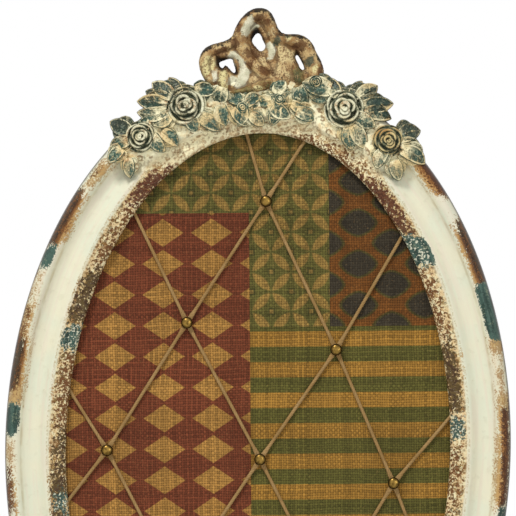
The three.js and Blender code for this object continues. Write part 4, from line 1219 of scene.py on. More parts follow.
def rose_parts(centre, radius, base, rise, rings, seed, rows=ROSE_ROWS, sides=ROSE_SIDES):
    """Points and faces of a rose, and how deep each point lies between its petals."""
    dice = random.Random(seed)
    share = np.linspace(0.012, 1, rows)[:, None]
    turn = (2 * math.pi * np.arange(sides) / sides)[None]
    height = np.full((rows, sides), -2.0)
    scale = radius / 18
    phase = dice.uniform(0, 2 * math.pi)
    for ring_share, ring_rise, count in rings:
        phase += math.pi / count + dice.uniform(-0.3, 0.3)
        for petal in range(count):
            middle = phase + 2 * math.pi * petal / count + dice.uniform(-0.15, 0.15)
            half = 1.34 * math.pi / count * dice.uniform(0.88, 1.1)
            away = (turn - middle + math.pi) % (2 * math.pi) - math.pi
            side = np.clip(away / half, -1, 1)
            rim = radius * (ring_share - 0.19 * side**2 - 0.05 * side + dice.uniform(-0.03, 0.025))
            crest = rise * ring_rise * (1 - 0.1 * np.abs(side) ** 4) + dice.uniform(-0.4, 0.4) * scale
            crest = crest - np.where(np.abs(away) > half, 30 * (np.abs(away) - half) * scale, 0)
            inwards = (rim - share * radius) / scale
            lip = 0.22 * inwards + 1.5 * smoothstep(1.5, 2.7, inwards)
            steep, round_over = 2.4 * (-inwards - 0.45) + 0.35, 1.7 * np.minimum(inwards, 0) ** 2
            fall = np.where(inwards < -0.45, steep, round_over)
            surface = crest - np.where(inwards > 0, lip, fall) * scale
            height = np.maximum(height, surface)
    rims = np.array(rings)[::-1]
    envelope = np.interp(share[:, 0], rims[:, 0], rims[:, 1] * rise)
    hollow = np.clip((envelope[:, None] - height) / (2.5 * scale), 0, 1)
    top = np.stack([
        centre[0] + share * radius * np.cos(turn), centre[1] + share * radius * np.sin(turn), base + height,
    ], -1)
    top[-1, :, 2] = np.minimum(top[-1, :, 2], base + 0.3)
    skirt = top[-1].copy()
    skirt[:, 2] = ROSE_FOOT
    points = np.concatenate([top.reshape(-1, 3), skirt])
    return points, closed_grid(rows + 1, sides), np.concatenate([hollow.ravel(), np.ones(sides)])


# Groups of leaves: each leaf's tip as a direction and a distance in radii from its hub, the lean of its
# axis from that direction, and its length and width in radii
LEAF_GROUPS = {
    "leaves_large_left": ("rose_large_left", [
        (25, 1.58, -29, 1, 0.62), (121, 1.56, 0, 1, 0.6), (146, 1.94, 0, 1.2, 0.68),
        (176, 2.31, 0, 1.45, 0.66),
        (161, 2.02, 0, 1.2, 0.6), (189, 2.32, -8, 1.4, 0.64), (212, 1.81, 0, 1, 0.62),
        (-34, 2.05, 0, 1.2, 0.64), (-62, 1.4, 0, 0.9, 0.6)]),
    "leaves_large_right": ("rose_large_right", [
        (150, 2.36, 16, 1.4, 0.8), (121, 1.73, 0, 1.1, 0.6), (59, 1.56, 0, 1, 0.6), (36, 1.92, 0, 1.2, 0.68),
        (7, 2.34, 0, 1.45, 0.68), (-11, 2.28, 0, 1.35, 0.64), (-30, 1.7, 0, 1.1, 0.62),
        (-79, 2.0, 0, 1.1, 0.58),
        (-61, 2.18, 0, 1.3, 0.64)]),
    "leaves_small_left": ("rose_small_left", [
        (154, 2.18, 0, 1.45, 0.9), (-164, 2, 0, 1.3, 0.76), (-140, 2.58, 8, 1.22, 0.7),
        (-103, 2.68, 18, 1.25, 0.64), (-30, 1.82, -20, 1.3, 0.72), (-13, 2.4, -30, 1.35, 0.74),
        (75, 1.37, 0, 1, 0.7)]),
    "leaves_small_right": ("rose_small_right", [
        (19, 2.16, 0, 1.45, 0.98), (-8, 2.09, 0, 1.3, 0.84), (-31, 2.74, 0, 1.7, 0.86),
        (-73, 2.6, 0, 1.3, 0.74),
        (-112, 1.9, 0, 1.3, 0.78)]),
    "leaves_centre_left": ((-0.089, 0.904, 11), [
        (181, 1.96, 75, 1.6, 1), (-131, 1.95, 57, 1.6, 1), (-75, 1.5, 20, 1.7, 1.15), (5, 1.35, 0, 1.4, 1),
        (150, 1.6, 20, 1.6, 0.9), (-100, 1.5, 0, 1.5, 0.9), (38, 1.9, 0, 1.5, 0.85),
        (-38, 2.2, 0, 1.4, 0.85)]),
    "leaves_centre_right": ((0.056, 0.927, 11), [
        (-57, 1.69, 20, 2, 1.05), (-24, 2.1, -50, 1.9, 1.05), (-24, 3.3, 8, 1.75, 0.95),
        (-153, 1.33, 0, 1.3, 1),
        (72, 1.5, -21, 1.3, 0.9), (0, 1.5, 0, 1.5, 0.9), (-18, 2.5, 0, 1.5, 0.8), (190, 1.9, 0, 1.3, 0.85),
        (-105, 2.1, 0, 1.5, 0.85)]),
}
BUDS = {
    "leaves_large_right": [(139, 1.85)], "leaves_centre_left": [(0, 0)], "leaves_centre_right": [(0, 0)],
}
BUD_RADIUS = 5.6
BUD_SEAT = 1.5
BUD_RISE = 4.5
BUD_RINGS = [(1.0, 0.35, 3), (0.72, 0.7, 3), (0.42, 0.9, 2), (0.18, 1.0, 1)]
LEAF_OUTLINE = smooth_line([
    (0, 0.72), (0.16, 0.9), (0.36, 1.0), (0.6, 0.93), (0.78, 0.7), (0.92, 0.36), (1, 0.05),
], 0.02)
LEAF_BROADER = 1.22
LEAF_RISE = 4
LEAF_TIP_RISE = 1.5
LEAF_FOOT = 22
# Each body's back lies a little in front of the one before it, so that no two backs share a plane
FOOT_STEP = 0.11
LEAF_ROWS = 46
LEAF_COLUMNS = 39
# The casting's ground between the leaves: each leaf again, shorter, broader and lower
WEB_REACH = 0.24
WEB_SHORTER = 0.86
WEB_BROADER = 1.5
WEB_DROP = 1.7
WEB_HOLLOWS = (0.14, 0.5)


def hub_of(group):
    hub = LEAF_GROUPS[group][0]
    across, up, radius = ROSES[hub] if isinstance(hub, str) else hub
    return np.array([across * HALF_WIDTH, up * HALF_HEIGHT]), radius


def leaf_parts(hub, radius, tip_turn, reach, lean, length, width, seed, foot, drop=0.0):
    """Points and faces of a leaf with thick raised edges, a midrib and veins, and its hollows."""
    dice = random.Random(seed)
    way = tip_turn * DEGREES
    upwards = math.sin(way)
    tip = hub + reach * radius * np.array([math.cos(way), math.sin(way)])
    way += lean * DEGREES
    along = np.array([math.cos(way), math.sin(way)])
    side = np.array([-along[1], along[0]])
    tip_height = float(ground_at(*tip)) + LEAF_TIP_RISE - drop
    station = 1 - (1 - np.linspace(0, 1, LEAF_ROWS)) ** 1.15
    spread = np.linspace(-1, 1, LEAF_COLUMNS)
    half = LEAF_BROADER * width * radius / 2 * np.interp(station, LEAF_OUTLINE[:, 0], LEAF_OUTLINE[:, 1])
    bend = dice.uniform(-0.09, 0.09) * radius * length * np.sin(math.pi * station)
    s, t = station[:, None], spread[None]
    out = half[:, None] * t
    plan = (tip[None, None] + along * (-(1 - s) * length * radius)[..., None]
            + side * (out + bend[:, None])[..., None])
    swell = np.interp(s, [0, 0.34, 0.74, 1], [0.8, 1, 0.9, 0.4])
    crest = lerp(CAST_SEAT - drop, tip_height, s**2) + LEAF_RISE * swell
    edge = half[:, None] * (1 - np.abs(t))
    rim = smoothstep(2.6, 0.9, edge)
    rib = np.exp(-((out / 0.75) ** 2)) * smoothstep(1.02, 0.8, s)
    vein_way = s * length * radius - np.abs(out) * 0.9
    vein_gap = length * radius / 3.4
    vein = np.abs((vein_way / vein_gap) % 1 - 0.5) * vein_gap
    vein = np.exp(-((vein_gap / 2 - vein) / 0.5) ** 2)
    ends = smoothstep(0.0, 0.1, s) * smoothstep(1.0, 0.88, s)
    tilt = dice.uniform(-0.16, 0.16)
    height = crest - 0.9 * (1 - rim) + 0.7 * rib + 0.3 * vein * ends + tilt * out
    height -= 1.5 * np.clip(1 - edge / 0.9, 0, 1) ** 2
    fade = dice.uniform(0.0, 0.3)
    painted = smoothstep(fade - 0.15, fade + 0.3, s) * dice.choice((1, 1, 0.85))
    lighter = dice.choice((0, 1)) * smoothstep(0, 0.4, t * dice.choice((-1, 1))) * dice.uniform(0.3, 0.85)
    rimmed = dice.uniform(0.45, 0.95)
    pale = dice.choice((1, 1, 1, 0.8, 0.8, 0.6)) * (1 + 0.2 * upwards)
    hollow = (1 - rimmed * rim - 0.42 * rib - 0.34 * vein * ends - lighter) * painted * pale
    hollow = np.clip(hollow + 0.75 * smoothstep(0.9, 0.2, edge), 0, 1)
    if drop:
        hollow = np.full(height.shape, lerp(*WEB_HOLLOWS, smoothstep(-0.4, 0.4, upwards)))
    top = np.concatenate([plan, height[..., None]], -1)
    skirt = top[:, [0, -1]].copy()
    skirt[..., 2] = foot
    rows = np.concatenate([skirt[:, :1], top, skirt[:, 1:]], 1)
    hollow = np.concatenate([np.full((LEAF_ROWS, 1), 0.6), hollow, np.full((LEAF_ROWS, 1), 0.6)], 1)
    return rows.reshape(-1, 3), closed_grid(LEAF_ROWS, LEAF_COLUMNS + 2), hollow.ravel()


def leaf_group_mesh(group):
    hub, radius = hub_of(group)
    parts = []
    for at, (turn, reach, lean, length, width) in enumerate(LEAF_GROUPS[group][1]):
        seed = hash_of(group, at)
        foot = LEAF_FOOT + at * FOOT_STEP
        parts.append(leaf_parts(hub, radius, turn, reach, lean, length, width, seed, foot))
        web = (turn, reach - WEB_REACH, lean, length * WEB_SHORTER, width * WEB_BROADER)
        parts.append(leaf_parts(hub, radius, *web, seed, foot + 10 * FOOT_STEP, WEB_DROP))
    for turn, reach in BUDS.get(group, []):
        place = hub + reach * radius * np.array([math.cos(turn * DEGREES), math.sin(turn * DEGREES)])
        seed = hash_of(group, 50)
        parts.append(rose_parts(place, BUD_RADIUS, CAST_SEAT + BUD_SEAT, BUD_RISE, BUD_RINGS, seed, 40, 72))
    return mesh_of_bodies(group, parts)


def hash_of(name, number):
    """A seed of its own for each named, numbered piece."""
    return sum(ord(letter) * (at + 1) for at, letter in enumerate(name)) * 31 + number


def inset_field(look):
    """About how far inside the oval's outer edge a point lies."""
    x, _, z = look.axes()
    reach = ((x / HALF_WIDTH) ** 2.0 + ((z - CENTRE_Z) / HALF_HEIGHT) ** 2.0).root()
    return (1 - reach) * ((HALF_WIDTH + HALF_HEIGHT) / 2)


def cast_look(name, cream, recess, tint, sooty, depth, soft, broken):
    """Cream crests over dark hollows with painted glints in them, and a tint in patches."""
    look = Look(name)
    hollow = look.stored("hollow")
    grime, fine, wide = look.noise(5, 3, 0.6), look.noise(1.2, 3, 0.65), look.noise(19, 2)
    wear = ((grime - 0.5) * 1.3 + (fine - 0.5) * 1.1) * broken
    deep = (hollow + wear).ramp(depth - soft, depth + soft)
    dull, tinted, painted_glint_colour = recess
    inwards = inset_field(look).ramp(4, 26)
    under = look.mix(look.noise(8, 3).ramp(0.42, 0.58, 0.3, 1).most(inwards), dull, tinted)
    # Painted glints of light, in spots over the dark hollows
    painted_glint = (look.noise(1.9, 2, 0.6) + (grime - 0.5) * 0.6).ramp(0.51, 0.67)
    under = look.mix(painted_glint * 0.65, under, painted_glint_colour)
    top = look.mix(wide.ramp(0.4, 0.62), *cream)
    top = look.mix((fine + (grime - 0.5)).ramp(0.52, 0.74) * 0.6, top, tint)
    rusty = look.noise(9, 2).ramp(0.5, 0.64) * (fine + (grime - 0.5) * 0.6).ramp(0.42, 0.6)
    top = look.mix(rusty * 0.7, top, (0.71, 0.46, 0.24))
    thin = (hollow + wear * 0.8).ramp(depth - soft - 0.25, depth) * 0.6
    top = look.mix(thin, top, (0.48, 0.45, 0.32))
    colour = look.mix(deep, top, under)
    soot = (inset_field(look) + (grime - 0.5) * 14).ramp(7, -5) * sooty
    soot = soot * (hollow + wear).ramp(0.2, 0.5, 0.25, 1)
    colour = look.mix(soot.least(0.9), colour, (0.12, 0.13, 0.1))
    normal = look.bump(fine * 0.5 + grime, 0.5, 0.6)
    return look.finish(colour, 0.46 - deep * 0.16, normal, specular_ior_level=0.2)


CREAMS = ((0.95, 0.92, 0.76), (0.9, 0.81, 0.6))
ROSE_CREAMS = ((0.91, 0.9, 0.77), (0.86, 0.8, 0.61))
# Colours in the hollows: dull, tinted, and the colour of the painted glints
ROSE_RECESS = ((0.21, 0.195, 0.13), (0.23, 0.26, 0.2), (0.5, 0.51, 0.39))
LEAF_RECESS = ((0.225, 0.23, 0.16), (0.23, 0.34, 0.295), (0.66, 0.69, 0.57))
rose_look = cast_look("rose_paint", ROSE_CREAMS, ROSE_RECESS, (0.56, 0.51, 0.37), 0.3, 0.42, 0.22, 0.85)
golden_look = cast_look("rose_paint_golden", ((0.86, 0.78, 0.55), (0.76, 0.6, 0.35)), ROSE_RECESS,
                        (0.6, 0.42, 0.22), 0.2, 0.4, 0.24, 0.8)
leaf_look = cast_look("leaf_paint", CREAMS, LEAF_RECESS, (0.55, 0.52, 0.37), 0.5, 0.42, 0.2, 0.95)
for name, (across, up, radius) in ROSES.items():
    centre = np.array([across * HALF_WIDTH, up * HALF_HEIGHT])
    parts = [rose_parts(centre, radius, CAST_SEAT, ROSE_HEIGHT, PETAL_RINGS, hash_of(name, 0))]
    paint = golden_look if name in GOLDEN_ROSES else rose_look
    add_piece(mesh_of_bodies(name, parts), paint, [name])
for group in LEAF_GROUPS:
    add_piece(leaf_group_mesh(group), leaf_look, [group])

# The bow, a pierced relief. Its places are read off the photograph, in pixels across and down.
PHOTO_PIXEL = 0.85
PHOTO_TURN = 1.17 * DEGREES
PHOTO_CENTRE = (258, 448)


def from_photo(places):
    """Board points in plan of places in the photograph."""
    away = np.asarray(places, float)[..., :2] - PHOTO_CENTRE
    across, down = away[..., 0], away[..., 1]
    x = across * math.cos(PHOTO_TURN) + down * math.sin(PHOTO_TURN)
    up = across * math.sin(PHOTO_TURN) - down * math.cos(PHOTO_TURN)
    return np.stack([x, up], -1) * PHOTO_PIXEL


BOW_OUTLINE = [
    (204, 80), (200, 71.5), (198.2, 62), (200, 54), (204.5, 47.3), (211, 43.6), (219, 41.4), (226.5, 38.8),
    (231.5, 35), (234, 29), (238, 20.8), (244, 13.7), (250.6, 8.8), (258, 6.6), (265.5, 7.5), (271.7, 12),
    (275.4, 19), (278, 25.7), (281.4, 30.6), (287, 33), (294.5, 32.8), (302, 34), (308.6, 37.8), (313.8, 44),
    (317, 51.4), (321, 59), (323.9, 67), (324.4, 75.5), (321, 84), (305, 92), (285, 95), (262, 97), (240, 97),
    (220, 94), (209, 88),
]
BOW_HOLES = [
    [(258, 32.8), (260.6, 35.6), (262.8, 40.7), (264.7, 44.8), (264, 48.3), (260.4, 50), (256.2, 45.8),
     (252.6, 41),
     (254.2, 36.3)],
    [(219.6, 63), (223.2, 60.8), (230.9, 58.9), (233, 63), (235, 70), (234, 72.2), (230.6, 69), (227.6, 65.6),
     (224.6, 64.6), (222, 67.4)],
    [(296.2, 55.4), (298.2, 56), (303.6, 66.6), (303, 69.2), (301, 67.6), (296.8, 59)],
]
# The slanted walls round the holes, which lie in the dark
BOW_WALLS = [
    [(256.4, 26.7), (259.6, 29.9), (262.6, 36.8), (265.6, 43.8), (265, 49), (260.3, 51), (255, 47), (251, 41),
     (250.5, 36), (253, 29.9)],
    [(216, 55.4), (220, 57), (231.5, 57.4), (234.4, 63), (238.4, 73), (234.4, 75.2), (229, 70.6),
     (226.4, 66.6),
     (222.6, 71), (217.4, 67), (216, 62)],
    [(295.4, 50), (298.4, 52), (305.4, 66.4), (304.2, 70.2), (300.6, 69.2), (295, 59)],
]
# Ridges: rows of across, down and half width, then the height over the relief's edge, and a pigment
BOW_RIDGES = [
    ([(264, 75, 6), (256, 66, 6.5), (247.5, 57, 7), (242, 47, 8), (240.5, 37, 7.6), (244.5, 24, 8),
      (252, 15, 8),
      (260, 13, 7.6), (268, 18.5, 8), (272.5, 28, 7.6), (274.5, 37, 6), (281, 41, 5)], 9.5, "ochre"),
    ([(232, 43.5, 4.6), (219, 47.5, 5), (208.5, 51.5, 5.5), (203.6, 60, 5.5), (204.5, 70, 6.5),
      (208, 80, 7)], 7.5,
     "ochre"),
    ([(281, 39, 6), (290, 39.5, 7), (299, 40.5, 7.5), (307.5, 46.5, 7.5), (312.5, 56, 7.5), (316, 67, 8),
      (316, 79, 8)], 8, "ochre"),
    ([(281, 44, 6), (285, 56, 8), (285, 68, 8.5), (281, 80, 9)], 7, "tan"),
    ([(232, 52.5, 3.4), (241, 57, 4.6), (245.5, 66, 6), (244.5, 76, 7), (240, 86, 6)], 6, "cream"),
    ([(214, 60, 4), (213, 68, 4.4), (214, 78, 5)], 5.4, "cream"),
    ([(223.6, 74, 5), (223, 80, 6), (224, 87, 5.4)], 8, "butter"),
    ([(255, 82, 9), (266, 78, 9), (276, 84, 8)], 6.5, "tan"),
    ([(270.5, 43, 4.5), (272.5, 50, 5.2), (270, 58, 4)], 5, "cream"),
    ([(262, 60, 5), (265, 68, 6)], 6, "tan"),
    ([(296, 70, 4.5), (299, 80, 5)], 6.5, "olive"),
    ([(230, 93, 1.6), (240, 91.5, 3.4), (252, 89, 4.6), (262, 85, 6), (268, 82.5, 5)], 10.5, "olive"),
]
# Patches of colour: middle across and down, half sizes, lean in degrees, pigment
# The soot patches, and the dark brown ones under the crossing ribbons, are painted shadow
BOW_PATCHES = [
    (258, 8.5, 10, 5, 5, "soot"), (272, 14, 6, 3, 55, "soot"), (205, 49, 6, 4, -40, "soot"),
    (231, 39, 5, 4.5, -50, "soot"), (311, 38.5, 6, 2.6, 40, "soot"), (318, 56, 5, 2.4, 65, "soot"),
    (219, 52, 8, 2.4, -18, "brown"), (252, 54, 10, 6, 20, "brown"), (235, 42, 6, 6, 0, "brown"),
    (249.5, 21, 8.4, 5.4, -50, "cream"), (255, 26, 5, 4.4, 0, "cream"), (239, 28, 4, 7, 20, "brown"),
    (246, 30, 6, 6.4, 20, "cream"), (268, 22, 6, 4, 50, "brown"), (277, 36, 4, 5, -30, "brown"),
    (222, 50, 9, 3, -18, "brown"), (206.5, 66, 5.4, 12, 5, "butter"), (288, 37, 7, 3, 0, "butter"),
    (303, 43, 6, 3.6, 30, "brown"), (315, 68, 3.4, 6, 10, "butter"), (250, 65, 5, 4, 40, "brown"),
    (270, 66, 8, 7, 0, "tan"), (258, 88, 7, 3, 0, "butter"), (322, 66, 2.6, 8, 15, "brown"),
    (259, 18, 6, 5, 0, "brown"), (262, 77, 12, 4, 0, "tan"), (231, 62, 4, 8, -30, "cream"),
    (246, 12, 5, 5, 45, "soot"), (282, 31, 7, 3, 30, "soot"),
    (277, 41, 5, 5, 0, "teal"), (309, 61, 6, 7, 30, "teal"), (298, 47, 9, 4, 10, "brown"),
    (265, 71, 9, 5, 20, "brown"), (290, 60, 4, 10, 15, "tan"), (299, 75, 6, 8, 0, "olive"),
    (212, 64, 4, 8, 0, "butter"), (281, 84, 7, 5, 0, "teal"), (320, 76, 4, 8, 0, "brown"),
    (272, 30, 4, 6, -20, "ochre"), (264, 46, 2, 6, 0, "cream"), (233, 81, 8, 6, 0, "cream"),
]
BOW_PIGMENTS = ("cream", "butter", "tan", "brown", "olive", "teal", "soot")
BOW_STEP = 0.75
BOW_EDGE = 5.5
BOW_TOP_EDGE = 23
BOW_FOOT_EDGE = 29
BOW_BACK = 5


def line_distance(points, line):
    """Distance of each point from a polyline, and where along it the nearest place lies."""
    best, where = np.full(len(points), 1e9), np.zeros(len(points))
    for at, (start, end) in enumerate(zip(line[:-1], line[1:])):
        span = end - start
        share = np.clip(((points - start) @ span) / (span @ span), 0, 1)
        distance = np.linalg.norm(points - start - share[:, None] * span, axis=1)
        nearer = distance < best
        best[nearer], where[nearer] = distance[nearer], (at + share)[nearer]
    return best, where


def within(points, outline):
    """Which points lie inside a closed outline."""
    inside = np.zeros(len(points), bool)
    x, y = points.T
    for (x0, y0), (x1, y1) in zip(outline, np.roll(outline, -1, axis=0)):
        if y0 != y1:
            inside ^= ((y0 > y) != (y1 > y)) & (x < (x1 - x0) * (y - y0) / (y1 - y0) + x0)
    return inside


def closed_distance(points, outline):
    return line_distance(points, np.concatenate([outline, outline[:1]]))[0]


# The plain relief's height over its edge, how closely ridges run into each other, and the walls' height
BOW_GROUND = 2.2
RIDGE_BLEND = 0.9
WALL_HEIGHT = -0.5
# How far down from the outline's upper edge the soot reaches
SOOT_REACH = 4.6


def in_the_bow(points, rings):
    """Which points lie inside the bow's outline and outside its holes."""
    inside = within(points, rings[0])
    for hole in rings[1:]:
        inside &= ~within(points, hole)
    return inside


def edge_distance(points, rings):
    return np.min([closed_distance(points, ring) for ring in rings], axis=0)


def bow_net(rings):
    """Points and triangles that fill the bow between its outline and its holes."""
    low, high = rings[0].min(0), rings[0].max(0)
    rows = np.arange(low[1], high[1], BOW_STEP * 0.87)
    grid_x, grid_up = np.meshgrid(np.arange(low[0], high[0], BOW_STEP), rows)
    grid_x = grid_x + BOW_STEP / 2 * (np.arange(len(rows)) % 2)[:, None]
    filling = np.stack([grid_x.ravel(), grid_up.ravel()], -1)
    filling = filling[in_the_bow(filling, rings)]
    filling = filling[edge_distance(filling, rings) > BOW_STEP * 0.6]
    borders, start = [], 0
    for ring in rings:
        borders += [(start + at, start + (at + 1) % len(ring)) for at in range(len(ring))]
        start += len(ring)
    corners = [Vector(place) for place in np.concatenate([*rings, filling])]
    found = delaunay_2d_cdt(corners, borders, [], 0, 1e-6)
    plan = np.array([tuple(place) for place in found[0]])
    triangles = np.array([face for face in found[2] if len(face) == 3])
    return plan, triangles[in_the_bow(plan[triangles].mean(1), rings)]


def bow_ridges(plan):
    """The relief's height over its edge, and where each pigment lies on its ridges."""
    heights = [np.full(len(plan), BOW_GROUND)]
    highest = heights[0]
    fields = {pigment: np.full(len(plan), 0.55 if pigment == "brown" else 0.0) for pigment in BOW_PIGMENTS}
    for line, rise, pigment in BOW_RIDGES:
        line = np.array(line)
        distance, where = line_distance(plan, from_photo(line))
        half = np.interp(where, np.arange(len(line)), line[:, 2]) * PHOTO_PIXEL
        across = np.clip(distance / half, 0, 1)
        ridge = rise * np.sqrt(1 - across**2 * 0.97) - rise * 0.17
        for name, field in fields.items():
            field[ridge > highest] = 1.0 if name == pigment else 0.0
        highest = np.maximum(highest, ridge)
        heights.append(ridge)
    return np.log(sum(np.exp(RIDGE_BLEND * ridge) for ridge in heights)) / RIDGE_BLEND, fields


def paint_patches(plan, fields):
    """Lays the bow's patches of colour over the pigments of its ridges."""
    for across, down, wide, tall, lean, pigment in BOW_PATCHES:
        x, up = (plan - from_photo((across, down))).T
        turn = lean * DEGREES + PHOTO_TURN
        along, aside = x * math.cos(turn) - up * math.sin(turn), x * math.sin(turn) + up * math.cos(turn)
        cover = smoothstep(1.45, 0.35, np.hypot(along / wide, aside / tall) / PHOTO_PIXEL)
        for name, field in fields.items():
            field *= 1 - cover * (name != pigment)
        if pigment in fields:
            fields[pigment] = np.maximum(fields[pigment], cover)


def bow_walls(plan):
    """How surely each point lies on a slanted wall round a hole."""
    wall = np.zeros(len(plan))
    for outline in BOW_WALLS:
        ring = smooth_line(from_photo(outline), BOW_STEP, closed=True)
        depth = closed_distance(plan, ring) * np.where(within(plan, ring), 1, -1)
        wall = np.maximum(wall, smoothstep(-0.5, 0.9, depth))
    return wall


def bow_mesh():
    """A relief with rounded edges between the bow's outline and its holes, with ridges on it."""
    rings = [smooth_line(from_photo(line), BOW_STEP, closed=True) for line in (BOW_OUTLINE, *BOW_HOLES)]
    plan, triangles = bow_net(rings)
    edge = edge_distance(plan, rings)
    height, fields = bow_ridges(plan)
    paint_patches(plan, fields)
    # Where the relief rounds away at its edges, for painted shade
    fields["edge_shade"] = smoothstep(4.2, 0.8, edge)
    fields["soot"] = np.maximum(fields["soot"], 0.7 * ~within(plan + (0, SOOT_REACH), rings[0]))
    fields["wall"] = bow_walls(plan)
    height = lerp(height, WALL_HEIGHT, fields["wall"])
    seat = lerp(BOW_FOOT_EDGE, BOW_TOP_EDGE, smoothstep(308, 345, plan[:, 1]))
    rounding = np.sqrt(1 - (1 - np.clip(edge / BOW_EDGE, 0, 1)) ** 2)
    front = np.column_stack([plan, seat + height * rounding])
    back = np.column_stack([plan, seat - BOW_BACK * rounding])
    # Front and back share the points on the rim
    own = np.arange(len(plan))
    place_of = np.where(edge < 1e-4, own, len(plan) + own)
    faces = np.concatenate([triangles, place_of[triangles][:, ::-1]])
    used, faces = np.unique(faces, return_inverse=True)
    mesh = make_mesh("ribbon_bow", np.concatenate([front, back])[used], faces.reshape(-1, 3).tolist())
    edges = edges_of(mesh)
    set_points(mesh, softened(points_of(mesh), edges, 2, 0.5))
    mark_hollows(mesh, (3, 26), (0.12, 0.8))
    soft = np.stack([*fields.values()], -1)
    soft = softened(np.concatenate([soft, soft])[used], edges, 6)
    for name, column in zip(fields, soft.T):
        set_value(mesh, name, column)
    return mesh


def ribbon_look():
    look = Look("ribbon_paint")
    hollow = look.stored("hollow")
    grime, fine, wide = look.noise(4.5, 3, 0.65), look.noise(1.3, 3, 0.7), look.noise(12, 3, 0.6)
    broken_up = (grime - 0.5) * 1.5 + (fine - 0.5) * 1.1

    def patch(name):
        field = look.stored(name)
        return (field + broken_up).ramp(0.3, 0.72) * field.ramp(0, 0.2)

    colour = look.mix(wide.ramp(0.38, 0.6), (0.78, 0.67, 0.47), (0.6, 0.46, 0.29))
    colour = look.mix((grime + (fine - 0.5) * 0.8).ramp(0.5, 0.66) * 0.85, colour, (0.88, 0.81, 0.62))
    tan = look.mix(wide.ramp(0.4, 0.62), (0.84, 0.76, 0.56), (0.71, 0.59, 0.41))
    colour = look.mix(patch("tan") * 0.9, colour, tan)
    colour = look.mix(patch("butter"), colour, (0.85, 0.8, 0.58))
    cream = look.mix(wide.ramp(0.4, 0.62), (0.9, 0.88, 0.77), (0.79, 0.78, 0.66))
    colour = look.mix(patch("cream"), colour, cream)
    olive = look.mix((wide + (fine - 0.5) * 0.6).ramp(0.4, 0.6), (0.33, 0.33, 0.22), (0.54, 0.48, 0.3))
    colour = look.mix(patch("olive"), colour, olive)
    # Brown mottling and specks all over, denser on the ochre
    plain = 1 - look.stored("cream") * 0.75
    mottle = (look.noise(4.4, 3, 0.65) + (fine - 0.5) * 1.2).ramp(0.5, 0.64)
    colour = look.mix(mottle * plain * 0.72, colour, (0.4, 0.235, 0.125))
    speck = (fine * 1.3 + grime * 0.5).ramp(0.96, 1.1)
    colour = look.mix(speck * plain * 0.85, colour, (0.3, 0.18, 0.1))
    pale = (fine * 1.2 - grime * 0.3).ramp(0.54, 0.68)
    colour = look.mix(pale * 0.45, colour, (0.87, 0.79, 0.6))
    colour = look.mix(patch("brown") * 0.85, colour, (0.34, 0.215, 0.125))
    # Painted shade: darker towards the relief's edges
    edge_shade = (look.stored("edge_shade") + broken_up * 0.9).ramp(0.35, 1.0)
    colour = look.mix(edge_shade * 0.4, colour, (0.25, 0.165, 0.09))
    # Painted shade in the creases between the ribbons
    crease_shade = (hollow + (grime - 0.5) * 0.5).ramp(0.58, 0.8)
    colour = look.mix(crease_shade * 0.6, colour, (0.26, 0.16, 0.085))
    colour = look.mix(patch("teal") * 0.8, colour, (0.2, 0.27, 0.23))
    # Near black: painted shadow in the soot patches, and soot along the outline's upper edge
    colour = look.mix(patch("soot") * 0.95, colour, (0.07, 0.055, 0.04))
    # The walls round the holes, painted near black as the shade in them
    colour = look.mix((look.stored("wall") * 1.2).least(1.0) * 0.97, colour, (0.05, 0.035, 0.03))
    normal = look.bump(fine * 0.6 + grime, 0.4, 0.6)
    return look.finish(colour, 0.45 + grime * 0.2, normal, specular_ior_level=0.08)


add_piece(bow_mesh(), ribbon_look(), ["ribbon_bow"])

# Hardware on the back. Heights under zero lie behind the moulding's back, towards the wall.

SCREW_HEAD = 3
SCREW_HEAD_HEIGHT = 1.6
SCREW_SHANK = 1.3
SCREW_REACH = 10
SCREW_ROWS = 61
SCREW_COLUMNS = 41
SLOT_HALF = 0.45
SLOT_DEPTH = 0.7
BUTTON_END = 5.5
BUTTON_LENGTH = 31
BUTTON_TAIL = 7
BUTTON_THICKNESS = 1.4
BUTTON_RIB = 0.45
STRAP_WIDTH = 9.5
STRAP_LENGTH = 28
STRAP_SHEET = 0.7
STRAP_SCREW_DROP = 20.5
RING_WIRE = 2
RING_INNER_WIDTH = 13
RING_REACH = 14
RING_CLEARANCE = 0.15
STAPLE_WIRE = 0.7
STAPLE_BEND = 0.8
BUMPER_RADIUS = 7.5
BUMPER_FLARE = 0.6
SHANK_SIDES, RING_SIDES, STAPLE_SIDES, BUMPER_SIDES = 16, 16, 10, 64
# Where they lie: inset from the oval's edge, and turns in degrees from the right, by way of the top
BUTTON_INSET, BUTTON_TURNS = 34, (90, 180, 270, 0)
HANGER_INSET, HANGER_TURNS = 24, {"left": 142, "right": 38}
BUMPER_INSET, BUMPER_TURNS = 22, {"left": 236, "right": 304}
STAPLE_COUNT = 12


